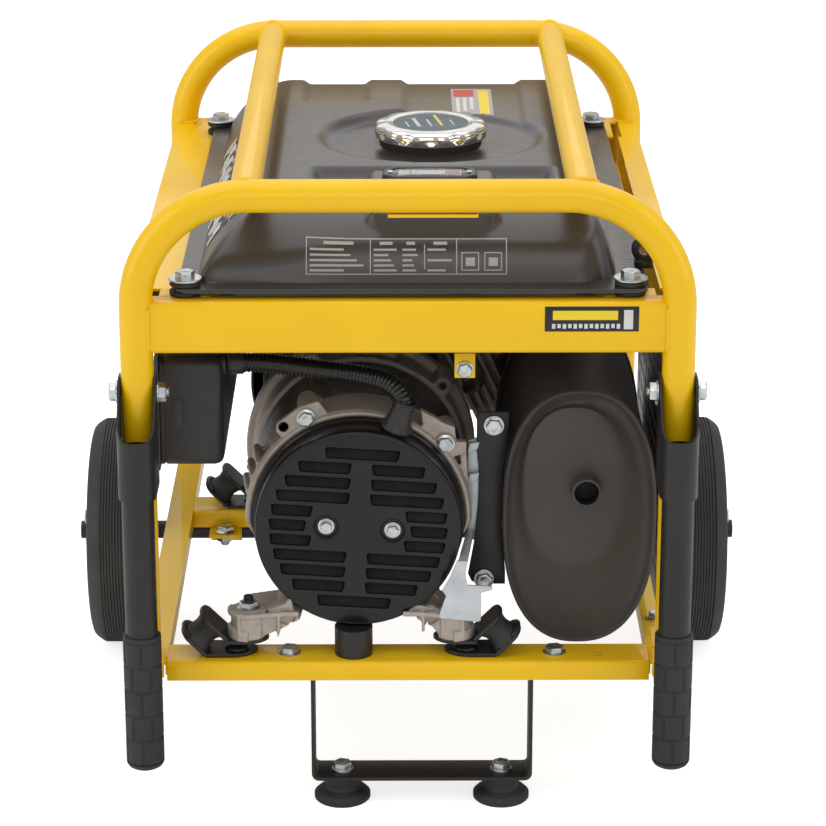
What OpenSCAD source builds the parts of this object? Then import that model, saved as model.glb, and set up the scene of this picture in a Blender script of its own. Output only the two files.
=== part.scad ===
// Open-frame portable petrol generator on a two-wheel kit.
// Working directions: +X to the right seen from the alternator end, +Y from the
// alternator end towards the recoil starter, +Z up. Lengths in millimetres.

/* [Frame] */
// Outside diameter of the frame tube
tube_d = 25.4; // [24:0.2:27]
// Width between the centre lines of a hoop's legs
hoop_w = 414.6; // [405:1:425]
// Distance between the planes of the two hoops
hoop_gap = 580; // [576:1:590]
// Height of the centre line of a hoop's top tube
hoop_top = 502; // [500:1:512]
// Centre line radius of a hoop's corners
bend_r = 87; // [80:1:95]
// Half the distance between the two top rails
rail_x = 128; // [122:1:132]
// Height of the top face of the tank tray
tray_top = 420.5; // [419:0.5:421]
// Height of the tank tray's walls
tray_h = 41; // [36:1:42]
// Sheet thickness of the pressed frame members
sheet_t = 2; // [1.5:0.5:2]

/* [Wheels and foot] */
// Outside radius of a tyre
wheel_r = 100.5; // [99.5:0.5:102]
// Width of a tyre
wheel_w = 45; // [40:1:48]
// Distance of the axle behind the alternator end hoop
axle_y = 345; // [342:1:348]
// Outside width of the foot bracket
foot_w = 176; // [156:1:176]

/* [Handles] */
// Height of the handle pivots
pivot_z = 347; // [344:1:350]
// Distance of the handle tube in front of the leg
handle_out = 28.5; // [28.5:0.5:30]
// Height of the lower end of a hanging handle
handle_low = 45; // [40:1:60]

/* [Engine and alternator] */
// Sideways place of the engine shaft
shaft_x = -39; // [-41:1:-37]
// Height of the engine shaft
shaft_z = 231; // [230:1:232]
// Radius of the alternator's end cover
cover_r = 81; // [78:1:81]

/* [Tank] */
// Height of the flat top of the fuel tank
tank_top_z = 478; // [474:1:480]
// Sideways place of the filler cap
cap_x = 20; // [16:1:22]
// Radius of the filler cap
cap_r = 47.5; // [45:0.5:48]

/* [Hidden] */
$fn = 64;

tube_r = tube_d / 2;
tube_wall = 1.6;
leg_x = hoop_w / 2;
leg_in = leg_x - tube_r;
bend_z = hoop_top - bend_r;
leg_low = 106;
far_y = hoop_gap;
rail_r = 12;
rail_shift = 5;          // the pair of top rails stands a little right of the middle

// the origin lies below the middle of the whole machine
front_y = -handle_out - 15;
back_y = far_y + tube_r;
mid_y = (front_y + back_y) / 2;

tray_low = tray_top - tray_h;
beam_y = 8;              // the front beam's face stands this far before the leg centres
side_x = 213;            // outer face of the side beams
left_lip = 48;           // top lip of the left side beam
right_lip = 19;          // top lip of the right side beam
bolt_x = 170;            // tank bolts
bolt_y = 15;
far_bolt_y = 527;
tab_y = 14;              // a tab runs this far past its bolt

cross_top = 126;
cross_h = 15.5;
cross_w = 40;
rail_in = 190;           // the bottom rails lie between these two widths
rail_out = 212;
rail_low = cross_top - cross_h;
near_cross_y = 8;
axle_cross_y = 343.5;
axle_r = 8;
wheel_x = 234;           // inner face of a wheel
axle_half = wheel_x + wheel_w + 13;
hub_r = 60;
slack = 0.05;            // running clearance of a wheel or shaft

foot_x = 11;             // the foot stands a little to the right of the middle
foot_y = 8;
foot_t = 3;
foot_pitch = 127.6;
foot_plate_z = 21;
foot_hole_x = 105;       // bolts that carry the foot bracket, from its middle

bracket_r = 14.6;        // handle channel, outside
bracket_t = 1.5;
handle_r = 12.5;
grip_r = 15;
mouth_z = pivot_z - 28;
sleeve_low = pivot_z - 76;

flange_z = 428;
tank_y = 271;
cap_y = 284;             // middle of the filler cap and its recess
gauge_y = 148;
tank_wall = 1.5;
recess_r = 97;
recess_d = 8;
neck_r = 30;

mount_xs = [87, 75];     // engine feet to the left and to the right of the shaft
foot_pad_z = 140;
near_mount_y = 12;
far_mount_y = 343.5;
cover_y = 6;             // face of the alternator's end cover
bracket_y = 34;          // face of the end bracket
stator_y = 80;
stator_end = 172;
case_y = 240;
case_end = 372;
cowl_end = 452;
tilt = 25;               // the cylinder leans this far up from level
lean_y = 306;            // middle of the cylinder along the shaft
bolt_angles = [42, 116, 232, 308];
bolt_ring_r = 92;

muffler_x = 135.5;
muffler_w = 122;
muffler_z = 231;
muffler_h = 213;
muffler_y = 30;
muffler_end = 235;

box_x0 = -195;
box_x1 = -145;
box_y0 = 45;
box_y1 = 330;
box_z0 = 269;
box_z1 = 359;
grip_out_z = 290;        // height of the starter rope's exit
grip_x = shaft_x - 88;
pull_y = 492;

paint = "#f0c528";
black = "#3a3838";
zinc = "#c8ccd0";
alu = "#b5aca3";
tank_paint = "#4b4542";

// ---------------------------------------------------------------- helpers

module placed() translate([0, -mid_y, 0]) children();

// outline in X and Z, from y0 to y1
module xz(y0, y1) translate([0, y1, 0]) rotate([90, 0, 0]) linear_extrude(y1 - y0) children();

// outline in Y and Z, from x0 to x1
module yz(x0, x1) translate([x0, 0, 0]) rotate([90, 0, 90]) linear_extrude(x1 - x0) children();

// round bar along X or Y, starting at p
module rod_x(p, r, len) translate(p) rotate([0, 90, 0]) cylinder(r = r, h = len);
module rod_y(p, r, len) translate(p) rotate([-90, 0, 0]) cylinder(r = r, h = len);

module block(x0, x1, y0, y1, z0, z1) translate([x0, y0, z0]) cube([x1 - x0, y1 - y0, z1 - z0]);

// rectangle with round corners, as true arcs
module rrect(w, h, r) {
    square([w - 2 * r, h], center = true);
    square([w, h - 2 * r], center = true);
    for (sx = [-1, 1], sy = [-1, 1])
        translate([sx * (w / 2 - r), sy * (h / 2 - r)]) circle(r = r);
}

module ring(r_out, r_in) difference() {
    circle(r = r_out);
    circle(r = r_in);
}

// hexagon head bolt: head stands above z = 0, shank below
module bolt(d, len, head = 1) {
    cylinder(r = 0.9 * d * head, h = 0.65 * d, $fn = 6);
    translate([0, 0, -len]) cylinder(r = d / 2, h = len);
}

// nut whose hole is filled by the bolt's own shank
module open_nut(d) difference() {
    cylinder(r = 0.9 * d, h = 0.8 * d, $fn = 6);
    translate([0, 0, -1]) cylinder(r = d / 2, h = d + 2);
}

module washer(r, hole_r, t) difference() {
    cylinder(r = r, h = t);
    translate([0, 0, -1]) cylinder(r = hole_r, h = t + 2);
}

// ---------------------------------------------------------------- frame

// wall of the tube, or its whole section with hole = 0
module tube_section(hole) difference() {
    circle(r = tube_r);
    if (hole > 0) circle(r = hole);
}

module hoop(y, hole = tube_r - tube_wall) translate([0, y, 0]) {
    for (s = [-1, 1]) translate([s * leg_x, 0, leg_low]) linear_extrude(bend_z - leg_low)
        tube_section(hole);
    for (s = [0, 1]) mirror([s, 0, 0]) translate([leg_x - bend_r, 0, bend_z])
        rotate([90, 0, 0]) rotate_extrude(angle = 90) translate([bend_r, 0]) tube_section(hole);
    translate([bend_r - leg_x, 0, hoop_top]) rotate([0, 90, 0]) linear_extrude(hoop_w - 2 * bend_r)
        tube_section(hole);
}

// room for a hoop's legs in the members that are welded to them
module leg_space(y) for (s = [-1, 1]) translate([s * leg_x, y, 0])
    cylinder(r = tube_r + 0.25, h = tray_top + 5);

module near_hoop() color(paint) placed() {
    difference() {
        hoop(0);
        for (s = [-1, 1]) rod_x([s * leg_x - 20, 0, pivot_z], 4, 40);
    }
    block(-15, 53, -5, 5, hoop_top - tube_r - 3, hoop_top - tube_r - 0.6);
}

module far_hoop() color(paint) placed() hoop(far_y);

module top_rails() color(paint) placed() for (s = [-1, 1]) difference() {
    rod_y([s * rail_x + rail_shift, 0, hoop_top], rail_r, hoop_gap);
    rod_y([s * rail_x + rail_shift, -1, hoop_top], rail_r - tube_wall, hoop_gap + 2);
    for (y = [0, far_y]) hoop(y, 0);
}

// pressed channel across one end; depth is counted from the face
module end_beam_profile(depth, low_depth) {
    translate([0, tray_low]) square([sheet_t, tray_h]);
    translate([0, tray_top - sheet_t]) square([depth, sheet_t]);
    translate([0, tray_low]) square([low_depth, sheet_t]);
}

// hole_y is the distance of the tank bolts, each on a tab of the top flange
module end_beam(hole_y) difference() {
    union() {
        translate([0, -beam_y, 0]) yz(-leg_in - 2, leg_in + 2) end_beam_profile(19, 16);
        for (s = [-1, 1])
            block(s * bolt_x - 20, s * bolt_x + 20, 8, hole_y + tab_y, tray_top - sheet_t, tray_top);
    }
    leg_space(0);
    for (s = [-1, 1]) translate([s * bolt_x, hole_y, tray_low + 5]) cylinder(r = 4.2, h = tray_h);
}

module front_beam() color(paint) placed() end_beam(bolt_y);

module side_beam(lip, y0, y1) difference() {
    union() {
        block(-side_x, -side_x + sheet_t, y0, y1, tray_low, tray_top);
        block(-side_x, -side_x + lip, y0, y1, tray_top - sheet_t, tray_top);
        block(-side_x, -side_x + 16, y0, y1, tray_low, tray_low + sheet_t);
    }
    leg_space(0);
    leg_space(far_y);
    block(-leg_in - 3, 0, y0 - 1, bolt_y + tab_y + 1, tray_low - 1, tray_top + 1);
    block(-leg_in - 3, 0, far_bolt_y - tab_y - 1, y1 + 1, tray_low - 1, tray_top + 1);
}

module tray_beams() color(paint) placed() {
    side_beam(left_lip, 5, far_y - 5);
    mirror([1, 0, 0]) side_beam(right_lip, 5, far_y - 5);
    translate([0, far_y, 0]) mirror([0, 1, 0]) end_beam(far_y - far_bolt_y);
}

// downward channel that runs from one hoop's leg to the other's
module bottom_rails() color(paint) placed() for (s = [0, 1]) mirror([s, 0, 0]) difference() {
    block(-rail_out, -rail_in, 0, far_y, rail_low, cross_top);
    block(-rail_out + sheet_t, -rail_in - sheet_t, -1, far_y + 1, rail_low - 1, cross_top - sheet_t);
    leg_space(0);
    leg_space(far_y);
}

module cross_member(y) difference() {
    block(-rail_in, rail_in, y - cross_w / 2, y + cross_w / 2, rail_low, cross_top);
    block(-rail_in - 1, rail_in + 1, y - cross_w / 2 + sheet_t, y + cross_w / 2 - sheet_t,
        rail_low - 1, cross_top - sheet_t);
}

module cross_members() color(paint) placed() {
    difference() {
        cross_member(near_cross_y);
        for (s = [0, 1])
            translate([plate_hole_x(s), near_mount_y, cross_top - 5]) cylinder(r = 4.1, h = 10);
        for (s = [-1, 1]) {
            translate([foot_x + s * foot_hole_x, near_cross_y, cross_top - 5]) cylinder(r = 4.1, h = 10);
        }
    }
    difference() {
        cross_member(axle_cross_y);
        for (s = [0, 1]) translate([plate_hole_x(s), far_mount_y, cross_top - 5])
            cylinder(r = 4.1, h = 10);
    }
}

// ---------------------------------------------------------------- foot, axle, wheels

// the bracket's ends lie against the inside of the cross member
foot_under = cross_top - sheet_t;

module foot_bracket() color(black) placed() translate([foot_x, 0, 0]) difference() {
    union() {
        block(-foot_w / 2, foot_w / 2, -8, 25, foot_plate_z, foot_plate_z + foot_t);
        for (s = [0, 1]) mirror([s, 0, 0]) {
            block(-foot_w / 2, -foot_w / 2 + foot_t, -8, 25, foot_plate_z, foot_under);
            block(-foot_hole_x - 14, -foot_w / 2 + foot_t, -8, 25, foot_under - foot_t, foot_under);
        }
    }
    for (s = [-1, 1]) {
        translate([s * foot_pitch / 2, foot_y, foot_plate_z - 1]) cylinder(r = 4.1, h = 6);
        translate([s * foot_hole_x, near_cross_y, foot_under - 5]) cylinder(r = 4.1, h = 10);
    }
}

module rubber_feet() color("#2c2b2b") placed() for (s = [-1, 1])
    translate([foot_x + s * foot_pitch / 2, foot_y, 0]) rotate_extrude() difference() {
        polygon([[0, 0], [21.5, 0], [22.5, 1], [22.5, 4.5], [20, 7], [14, 9.5], [13, 12],
            [13.5, foot_plate_z], [0, foot_plate_z]]);
        translate([0, 5]) square([4, foot_plate_z]);
    }

module frame_bolts() color(zinc) placed() {
    // foot bolts and the bolts that carry the foot bracket
    for (s = [-1, 1]) {
        translate([foot_x + s * foot_pitch / 2, foot_y, foot_plate_z + foot_t]) bolt(8, 18);
        translate([foot_x + s * foot_hole_x, near_cross_y, cross_top]) bolt(8, 14);
        translate([foot_x + s * foot_hole_x, near_cross_y, foot_under - foot_t]) mirror([0, 0, 1])
            open_nut(8);
    }
    // handle pivots, head outwards and nut inwards
    for (s = [0, 1]) mirror([s, 0, 0]) translate([-leg_x - bracket_r - 0.4, 0, pivot_z])
        rotate([0, -90, 0]) {
            bolt(8, 44);
            translate([0, 0, -2 * bracket_r - 0.8]) mirror([0, 0, 1]) open_nut(8);
        }
    // axle end nuts and washers
    for (s = [0, 1]) mirror([s, 0, 0]) translate([wheel_x + wheel_w + 0.6, axle_y, wheel_r])
        rotate([0, 90, 0]) {
            washer(14, axle_r, 2);
            difference() {
                translate([0, 0, 2]) cylinder(r = 12, h = 5, $fn = 6);
                cylinder(r = axle_r, h = 9);
            }
        }
    // axle clamp bolts
    for (s = [-1, 1]) translate([s * clamp_x, clamp_bolt_y, rail_low - 3]) {
        translate([0, 0, 3]) bolt(8, 20);
        mirror([0, 0, 1]) open_nut(8);
    }
    // tank bolts on wide washers
    for (s = [-1, 1], y = [bolt_y, far_bolt_y])
        translate([s * bolt_x, y, flange_z + 4.5]) {
            washer(13, 4, 1.5);
            translate([0, 0, 1.5]) bolt(8, 26, 0.95);
        }
}

module axle() color("#2e2d2d") placed() rod_x([-axle_half, axle_y, wheel_r], axle_r, 2 * axle_half);

clamp_x = -161.5;
clamp_bolt_y = axle_y - 31;

// saddle round the axle with a bolted tab in front of it
module axle_clamps() color(paint) placed() for (s = [0, 1]) mirror([s, 0, 0]) difference() {
    union() {
        block(clamp_x - 13.5, clamp_x + 13.5, clamp_bolt_y - 10, axle_y, rail_low - 3, rail_low);
        block(clamp_x - 13.5, clamp_x + 13.5, axle_y - 10, axle_y + 10, wheel_r, rail_low);
        rod_x([clamp_x - 13.5, axle_y, wheel_r], 10, 27);
    }
    rod_x([clamp_x - 20, axle_y, wheel_r], axle_r, 40);
    translate([clamp_x, clamp_bolt_y, 60]) cylinder(r = 4, h = 80);
}

module tyre() rotate([0, 90, 0]) rotate_extrude($fn = 96) difference() {
    polygon([[hub_r, 3], [hub_r + 12, 1], [wheel_r - 12, 0], [wheel_r - 7, 1.5], [wheel_r, 11],
        [wheel_r, wheel_w - 11], [wheel_r - 7, wheel_w - 1.5], [wheel_r - 12, wheel_w],
        [hub_r + 12, wheel_w - 1], [hub_r, wheel_w - 3]]);
    for (x = [14, wheel_w / 2, wheel_w - 14]) translate([wheel_r - 3, x - 1.2]) square([5, 2.4]);
}

module hub() rotate([0, 90, 0]) difference() {
    union() {
        rotate_extrude($fn = 96) {
            translate([hub_r - 6, 4]) square([6, wheel_w - 8]);
            translate([axle_r + slack, wheel_w / 2 - 4]) square([hub_r - axle_r - slack - 3, 8]);
            translate([axle_r + slack, 0]) square([9, wheel_w]);
        }
        for (a = [0 : 60 : 300]) rotate([0, 0, a]) translate([15, -2.5, 8]) cube([41, 5, wheel_w - 16]);
    }
    for (a = [30 : 60 : 330]) rotate([0, 0, a]) translate([37, 0, -1]) cylinder(r = 11, h = wheel_w + 2);
}

module left_tyre() color("#333232") placed() translate([-wheel_x - wheel_w, axle_y, wheel_r]) tyre();
module left_hub() color("#1f1f1f") placed() translate([-wheel_x - wheel_w, axle_y, wheel_r]) hub();
module right_tyre() color("#333232") placed() translate([wheel_x, axle_y, wheel_r]) tyre();
module right_hub() color("#1f1f1f") placed() translate([wheel_x, axle_y, wheel_r]) hub();

// ---------------------------------------------------------------- handles

// section of the channel that straddles the leg, seen from above
module channel_section(grow) {
    translate([0, -handle_out]) circle(r = bracket_r - grow);
    translate([-bracket_r + grow, -handle_out]) square([2 * (bracket_r - grow), handle_out + 9 + grow]);
}

module handle_shape(x) translate([x, 0, 0]) {
    difference() {
        translate([0, 0, sleeve_low]) linear_extrude(pivot_z + 13 - sleeve_low) difference() {
            channel_section(0);
            channel_section(bracket_t);
        }
        // slanted mouth, from the front of the channel to the tip of its ears
        yz(-20, 20) polygon([[-60, mouth_z], [-handle_out - 10, mouth_z], [-6, pivot_z + 10],
            [-1, pivot_z + 20], [-60, pivot_z + 20]]);
        // the back edges of the ears clear the leg as the handle swings
        yz(-20, 20) polygon([[7, pivot_z + 20], [7, pivot_z - 10], [4, sleeve_low - 1],
            [30, sleeve_low - 1], [30, pivot_z + 20]]);
        rod_x([-20, 0, pivot_z], 4 + slack, 40);
    }
    translate([0, -handle_out, 0]) difference() {
        translate([0, 0, handle_low + 3]) cylinder(r = handle_r, h = mouth_z - 10 - handle_low);
        translate([0, 0, handle_low + 6]) cylinder(r = handle_r - 1.6, h = mouth_z);
    }
}

module grip_shape(x) translate([x, -handle_out, 0]) rotate_extrude() difference() {
    polygon([[0, handle_low], [grip_r - 5, handle_low], [grip_r - 1, handle_low + 4],
        [grip_r, handle_low + 9], [grip_r, 156], [grip_r - 1.2, 158], [0, 158]]);
    translate([-1, handle_low + 3]) square([handle_r + 1, 200]);
}

module left_handle() color(black) placed() handle_shape(-leg_x);
module right_handle() color(black) placed() handle_shape(leg_x);
module left_grip() color("#2f2e2e") placed() grip_shape(-leg_x);
module right_grip() color("#2f2e2e") placed() grip_shape(leg_x);

// ---------------------------------------------------------------- fuel tank

module slab(w, len, r, z, t) translate([0, tank_y, z]) linear_extrude(t) rrect(w, len, r);

module upper_form(cut) hull($fn = 32) {
    slab(324 - 2 * cut, 496 - 2 * cut, 34, flange_z - 1, 1);
    slab(288 - 2 * cut, 448 - 2 * cut, 30, tank_top_z - 20 - cut, 1);
    slab(270 - 2 * cut, 428 - 2 * cut, 26, tank_top_z - 6 - cut, 1);
    slab(248 - 2 * cut, 404 - 2 * cut, 22, tank_top_z - 1 - cut, 1);
}

module tank_top() color(tank_paint) placed() difference() {
    union() {
        difference() {
            upper_form(0);
            translate([0, 0, -0.01]) upper_form(tank_wall);
        }
        intersection() {
            upper_form(0.5);
            translate([cap_x, cap_y, tank_top_z - recess_d - tank_wall])
                cylinder(r = recess_r + tank_wall, h = recess_d + tank_wall - 1);
        }
        translate([3.5, tank_y, flange_z - tank_wall]) linear_extrude(tank_wall) rrect(359, 539, 10);
        translate([cap_x, cap_y, tank_top_z - 22]) cylinder(r = neck_r, h = 20);
    }
    translate([cap_x, cap_y, tank_top_z - recess_d]) difference() {
        cylinder(r = recess_r, h = 20);
        translate([0, 0, -1]) cylinder(r = neck_r, h = recess_d - 1);
    }
    translate([cap_x, cap_y, tank_top_z - 30]) cylinder(r = neck_r - 3, h = 40);
    translate([0, tank_y, flange_z - 5]) linear_extrude(5.5 + 0.02) rrect(316, 488, 30);
    tank_holes();
}

module tank_holes() for (s = [-1, 1], y = [bolt_y, far_bolt_y])
    translate([s * bolt_x, y, flange_z - 10]) cylinder(r = 5, h = 20);

module lower_form(cut) hull($fn = 32) {
    slab(316 - 2 * cut, 488 - 2 * cut, 30, flange_z - tank_wall - 1, 1);
    slab(280 - 2 * cut, 450 - 2 * cut, 30, 388 + cut, 1);
}

module tank_pan() color(tank_paint) placed() difference() {
    union() {
        lower_form(0);
        translate([3.5, tank_y, flange_z - 2 * tank_wall]) linear_extrude(tank_wall) rrect(359, 539, 10);
    }
    translate([0, 0, 1.01]) lower_form(tank_wall);
    translate([-110, 430, 380]) cylinder(r = 6, h = 20);
    tank_holes();
}

module tank_mounts() color("#222121") placed() for (s = [-1, 1], y = [bolt_y, far_bolt_y])
    translate([s * bolt_x, y, 0]) {
        translate([0, 0, flange_z]) washer(11.5, 4, 4.5);
        translate([0, 0, tray_top]) washer(11.5, 4, flange_z - 2 * tank_wall - tray_top);
    }

cap_z = tank_top_z - 6;
cap_top = cap_z + 19;

module fuel_cap() color("#d6d8da") placed() translate([cap_x, cap_y, cap_z]) {
    difference() {
        union() {
            cylinder(r = cap_r - 3, h = 19);
            for (a = [0 : 30 : 330]) rotate([0, 0, a]) translate([cap_r - 9, 0, 3]) cylinder(r = 9, h = 12);
        }
        translate([0, 0, -1]) cylinder(r = neck_r + 4, h = 5.3);
    }
    // bayonet cup that hangs inside the neck
    translate([0, 0, -6]) cylinder(r = neck_r - 4, h = 11);
}

module fuel_gauge() color("#e8e8e4") placed()
    translate([cap_x - 2, gauge_y, tank_top_z]) linear_extrude(5) rrect(76, 36, 12);

module fuel_tap() color("#9a9a95") placed() translate([-110, 430, 0]) {
    translate([0, 0, 366]) cylinder(r = 5.8, h = 24);
    difference() {
        translate([0, 0, 354]) cylinder(r = 11, h = 16);
        rod_y([0, -20, 362], 3 + slack, 14);
    }
    translate([0, 0, 336]) cylinder(r = 4, h = 18);
}

module tap_lever() color("#b03030") placed() translate([-110, 430, 362]) {
    rod_y([0, -20, 0], 3, 13.5);
    block(-4, 4, -20, -14, -30, 4);
}

// ---------------------------------------------------------------- alternator

module on_shaft() translate([shaft_x, 0, shaft_z]) rotate([-90, 0, 0]) children();

module cover_slots() for (i = [-5 : 5]) let (z = i * 12.5, reach = sqrt(70 * 70 - z * z)) {
    if (abs(i) == 5)
        translate([0, 0, z]) cube([30, 30, 3], center = true);
    else for (s = [-1, 1]) let (x0 = abs(i) < 3 ? 24 : 6, x1 = reach - 4)
        translate([s * (x0 + x1) / 2, 0, z]) cube([x1 - x0, 30, 3], center = true);
}

module end_cover() color("#1f1e1e") placed() difference() {
    on_shaft() rotate_extrude($fn = 96) polygon([[0, cover_y], [cover_r - 8, cover_y],
        [cover_r - 3, cover_y + 2], [cover_r, cover_y + 7], [cover_r, bracket_y - 3],
        [cover_r + 3, bracket_y - 3], [cover_r + 3, bracket_y], [cover_r - 2, bracket_y],
        [cover_r - 2, cover_y + 7], [cover_r - 4, cover_y + 3.4], [cover_r - 8, cover_y + 2],
        [0, cover_y + 2]]);
    translate([shaft_x, cover_y, shaft_z]) rotate([0, 3.5, 0]) cover_slots();
    for (a = [3.5, 183.5]) translate([shaft_x, 0, shaft_z]) rotate([0, a, 0]) rod_y([26, 0, 0], 3.2, 20);
}

// arm and boss of one cast foot
module cast_foot(s, y0, y1, pad_y) {
    translate([shaft_x, 0, 0]) mirror([s, 0, 0]) difference() {
        union() {
            xz(y0, y1) polygon([[-mount_xs[s], foot_pad_z], [-mount_xs[s], foot_pad_z + 18],
                [-60, foot_pad_z + 22], [-50, shaft_z - 72], [-34, shaft_z - 84], [-58, foot_pad_z + 4]]);
            translate([-mount_xs[s], pad_y, foot_pad_z]) cylinder(r = 14, h = 23);
        }
        translate([-mount_xs[s], pad_y, foot_pad_z - 1]) cylinder(r = 4.2, h = 40);
    }
}

module end_bracket() color(alu) placed() difference() {
    union() {
        on_shaft() translate([0, 0, bracket_y]) linear_extrude(stator_y - bracket_y) ring(88, 79);
        on_shaft() translate([0, 0, bracket_y]) linear_extrude(12) {
            ring(34, 26);
            for (a = [0 : 60 : 300]) rotate(a) translate([30, -5]) square([52, 10]);
        }
        on_shaft() for (a = bolt_angles) rotate([0, 0, -a]) translate([bolt_ring_r, 0, bracket_y - 1])
            cylinder(r = 8, h = stator_y - bracket_y);
        difference() {
            for (s = [0, 1]) cast_foot(s, near_mount_y - 8, bracket_y + 20, near_mount_y);
            on_shaft() cylinder(r = cover_r + 6, h = stator_y);
        }
    }
    on_shaft() for (a = bolt_angles) rotate([0, 0, -a]) translate([bolt_ring_r, 0, 0]) {
        cylinder(r = 3, h = 200);
        cylinder(r = 7, h = bracket_y - 1);
    }
    for (a = [150, 200, 0, 30]) on_shaft() rotate([0, 0, -a]) translate([84, 0, bracket_y + 26])
        cube([20, 22, 22], center = true);
}

module shaft_bearing() color("#c0c2c4") placed() on_shaft() translate([0, 0, bracket_y])
    difference() {
        cylinder(r = 26, h = 12);
        translate([0, 0, -1]) cylinder(r = 10 + slack, h = 14);
    }

module stator() color("#8b8d90") placed() on_shaft() translate([0, 0, stator_y]) difference() {
    cylinder(r = 84, h = stator_end - stator_y);
    translate([0, 0, -1]) cylinder(r = 54, h = 200);
}

module windings() color("#b8642c") placed() on_shaft() for (z = [bracket_y + 24, stator_end])
    translate([0, 0, z]) difference() {
        cylinder(r = 76, h = z == stator_end ? 18 : stator_y - z);
        translate([0, 0, -1]) cylinder(r = 56, h = 60);
    }

module rotor() color("#77797c") placed() on_shaft() translate([0, 0, stator_y - 4]) difference() {
    cylinder(r = 53, h = stator_end - stator_y + 8);
    translate([0, 0, -1]) cylinder(r = 15, h = 200);
}

module drive_bracket() color(alu) placed() on_shaft() difference() {
    union() {
        translate([0, 0, stator_end]) cylinder(r = 88, h = 28);
        translate([0, 0, stator_end + 28]) cylinder(r = 96, h = 12);
        translate([0, 0, stator_end + 40]) cylinder(r = 88, h = case_y - stator_end - 40);
        for (a = bolt_angles) rotate([0, 0, -a]) translate([bolt_ring_r, 0, stator_end + 1])
            cylinder(r = 8, h = 33);
    }
    translate([0, 0, stator_end - 1]) cylinder(r = 80, h = 80);
    for (a = bolt_angles) rotate([0, 0, -a]) translate([bolt_ring_r, 0, 0]) cylinder(r = 3, h = 205);
    for (a = [80, 175, 270]) rotate([0, 0, -a]) translate([86, 0, stator_end + 14])
        cube([24, 34, 18], center = true);
}

module machine_bolts() color(zinc) placed() {
    on_shaft() for (a = bolt_angles) rotate([0, 0, -a]) translate([bolt_ring_r, 0, bracket_y - 1])
        mirror([0, 0, 1]) bolt(6, 168);
    for (a = [3.5, 183.5]) translate([shaft_x, cover_y, shaft_z]) rotate([0, a, 0])
        translate([26, 0, 0]) rotate([90, 0, 0]) bolt(6, 16, 1.1);
    // bolts through the engine feet and down to the cross members
    for (s = [0, 1], y = [near_mount_y, far_mount_y]) {
        translate([shaft_x + side(s) * mount_xs[s], y, foot_pad_z + 23]) bolt(8, 28);
        translate([plate_hole_x(s), y, cross_top + mount_t]) bolt(8, 12, 0.9);
    }
    // bolts that join the muffler's plate to its stay
    for (p = plate_bolts) translate([p[0], plate_y, p[1]]) rotate([90, 0, 0]) bolt(10, 14, 0.95);
}

module support_post() color("#1d1d1d") placed() translate([shaft_x - 4, near_cross_y, cross_top])
    cylinder(r = 15, h = 149.2 - cross_top);

// slanted rubber block of one engine mount, between its two plates
mount_t = 3;
block_past = 35;         // middle of a block, outward from its engine foot
block_z = 144;
block_half = 9;
function side(s) = 2 * s - 1;
function plate_hole_x(s) = shaft_x + side(s) * (mount_xs[s] + block_past - 25);

module at_mount(s, y) translate([shaft_x, y, 0]) mirror([s, 0, 0])
    translate([-mount_xs[s] - block_past, 0, 0]) children();

module rubber_block(s, y) at_mount(s, y) translate([0, 0, block_z]) rotate([0, 45, 0])
    translate([-12, -15, -block_half]) cube([24, 30, 2 * block_half]);

module mount_rubbers() color("#232222") placed()
    for (s = [0, 1], y = [near_mount_y, far_mount_y]) rubber_block(s, y);

module mount_plate_pair(s, y) at_mount(s, y) {
    // lower plate: slanted leg and flat foot on the cross member
    translate([0, 0, block_z]) rotate([0, 45, 0])
        translate([-13, -16, -block_half - mount_t]) cube([25, 32, mount_t]);
    difference() {
        translate([1.4, -16, cross_top]) cube([41, 32, mount_t]);
        translate([25, 0, cross_top - 1]) cylinder(r = 4.1, h = 6);
    }
    // upper plate: slanted leg and flat tongue under the engine foot
    translate([0, 0, block_z]) rotate([0, 45, 0])
        translate([-15, -16, block_half]) cube([31.5, 32, mount_t]);
    difference() {
        translate([17.5, -16, foot_pad_z - mount_t]) cube([32, 32, mount_t]);
        translate([35, 0, foot_pad_z - mount_t - 1]) cylinder(r = 4.1, h = 6);
    }
}

module mount_plates() color("#262525") placed() for (s = [0, 1], y = [near_mount_y, far_mount_y])
    mount_plate_pair(s, y);

// ---------------------------------------------------------------- engine

module crankcase() color("#3b3a39") placed() difference() {
    union() {
        xz(case_y, case_end) translate([shaft_x - 8, 229]) rrect(150, 150, 26);
        for (s = [0, 1]) cast_foot(s, far_mount_y - 14, far_mount_y + 14, far_mount_y);
    }
    xz(case_y + 8, case_end - 8) translate([shaft_x - 8, 229]) rrect(134, 134, 20);
    on_shaft() cylinder(r = 14 + slack, h = 400);
    // cylinder opening, filler hole for the oil
    translate([shaft_x, lean_y, shaft_z]) rotate([0, 90 - tilt, 0]) cylinder(r = 42, h = 120);
    rod_x([-200, 290, 176], 9 + slack, 102);
}

module crankshaft() color("#9b9da0") placed() on_shaft() {
    translate([0, 0, 20]) cylinder(r = 10, h = stator_y - 24);
    translate([0, 0, stator_y - 4]) cylinder(r = 15, h = stator_end - stator_y + 8);
    translate([0, 0, stator_end + 4]) cylinder(r = 14, h = 415 - stator_end - 4);
    for (y = [lean_y - 24, lean_y + 12]) translate([0, 0, y]) cylinder(r = 40, h = 12);
}

module on_cylinder() translate([shaft_x, lean_y, shaft_z]) rotate([0, 90 - tilt, 0]) children();

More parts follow.
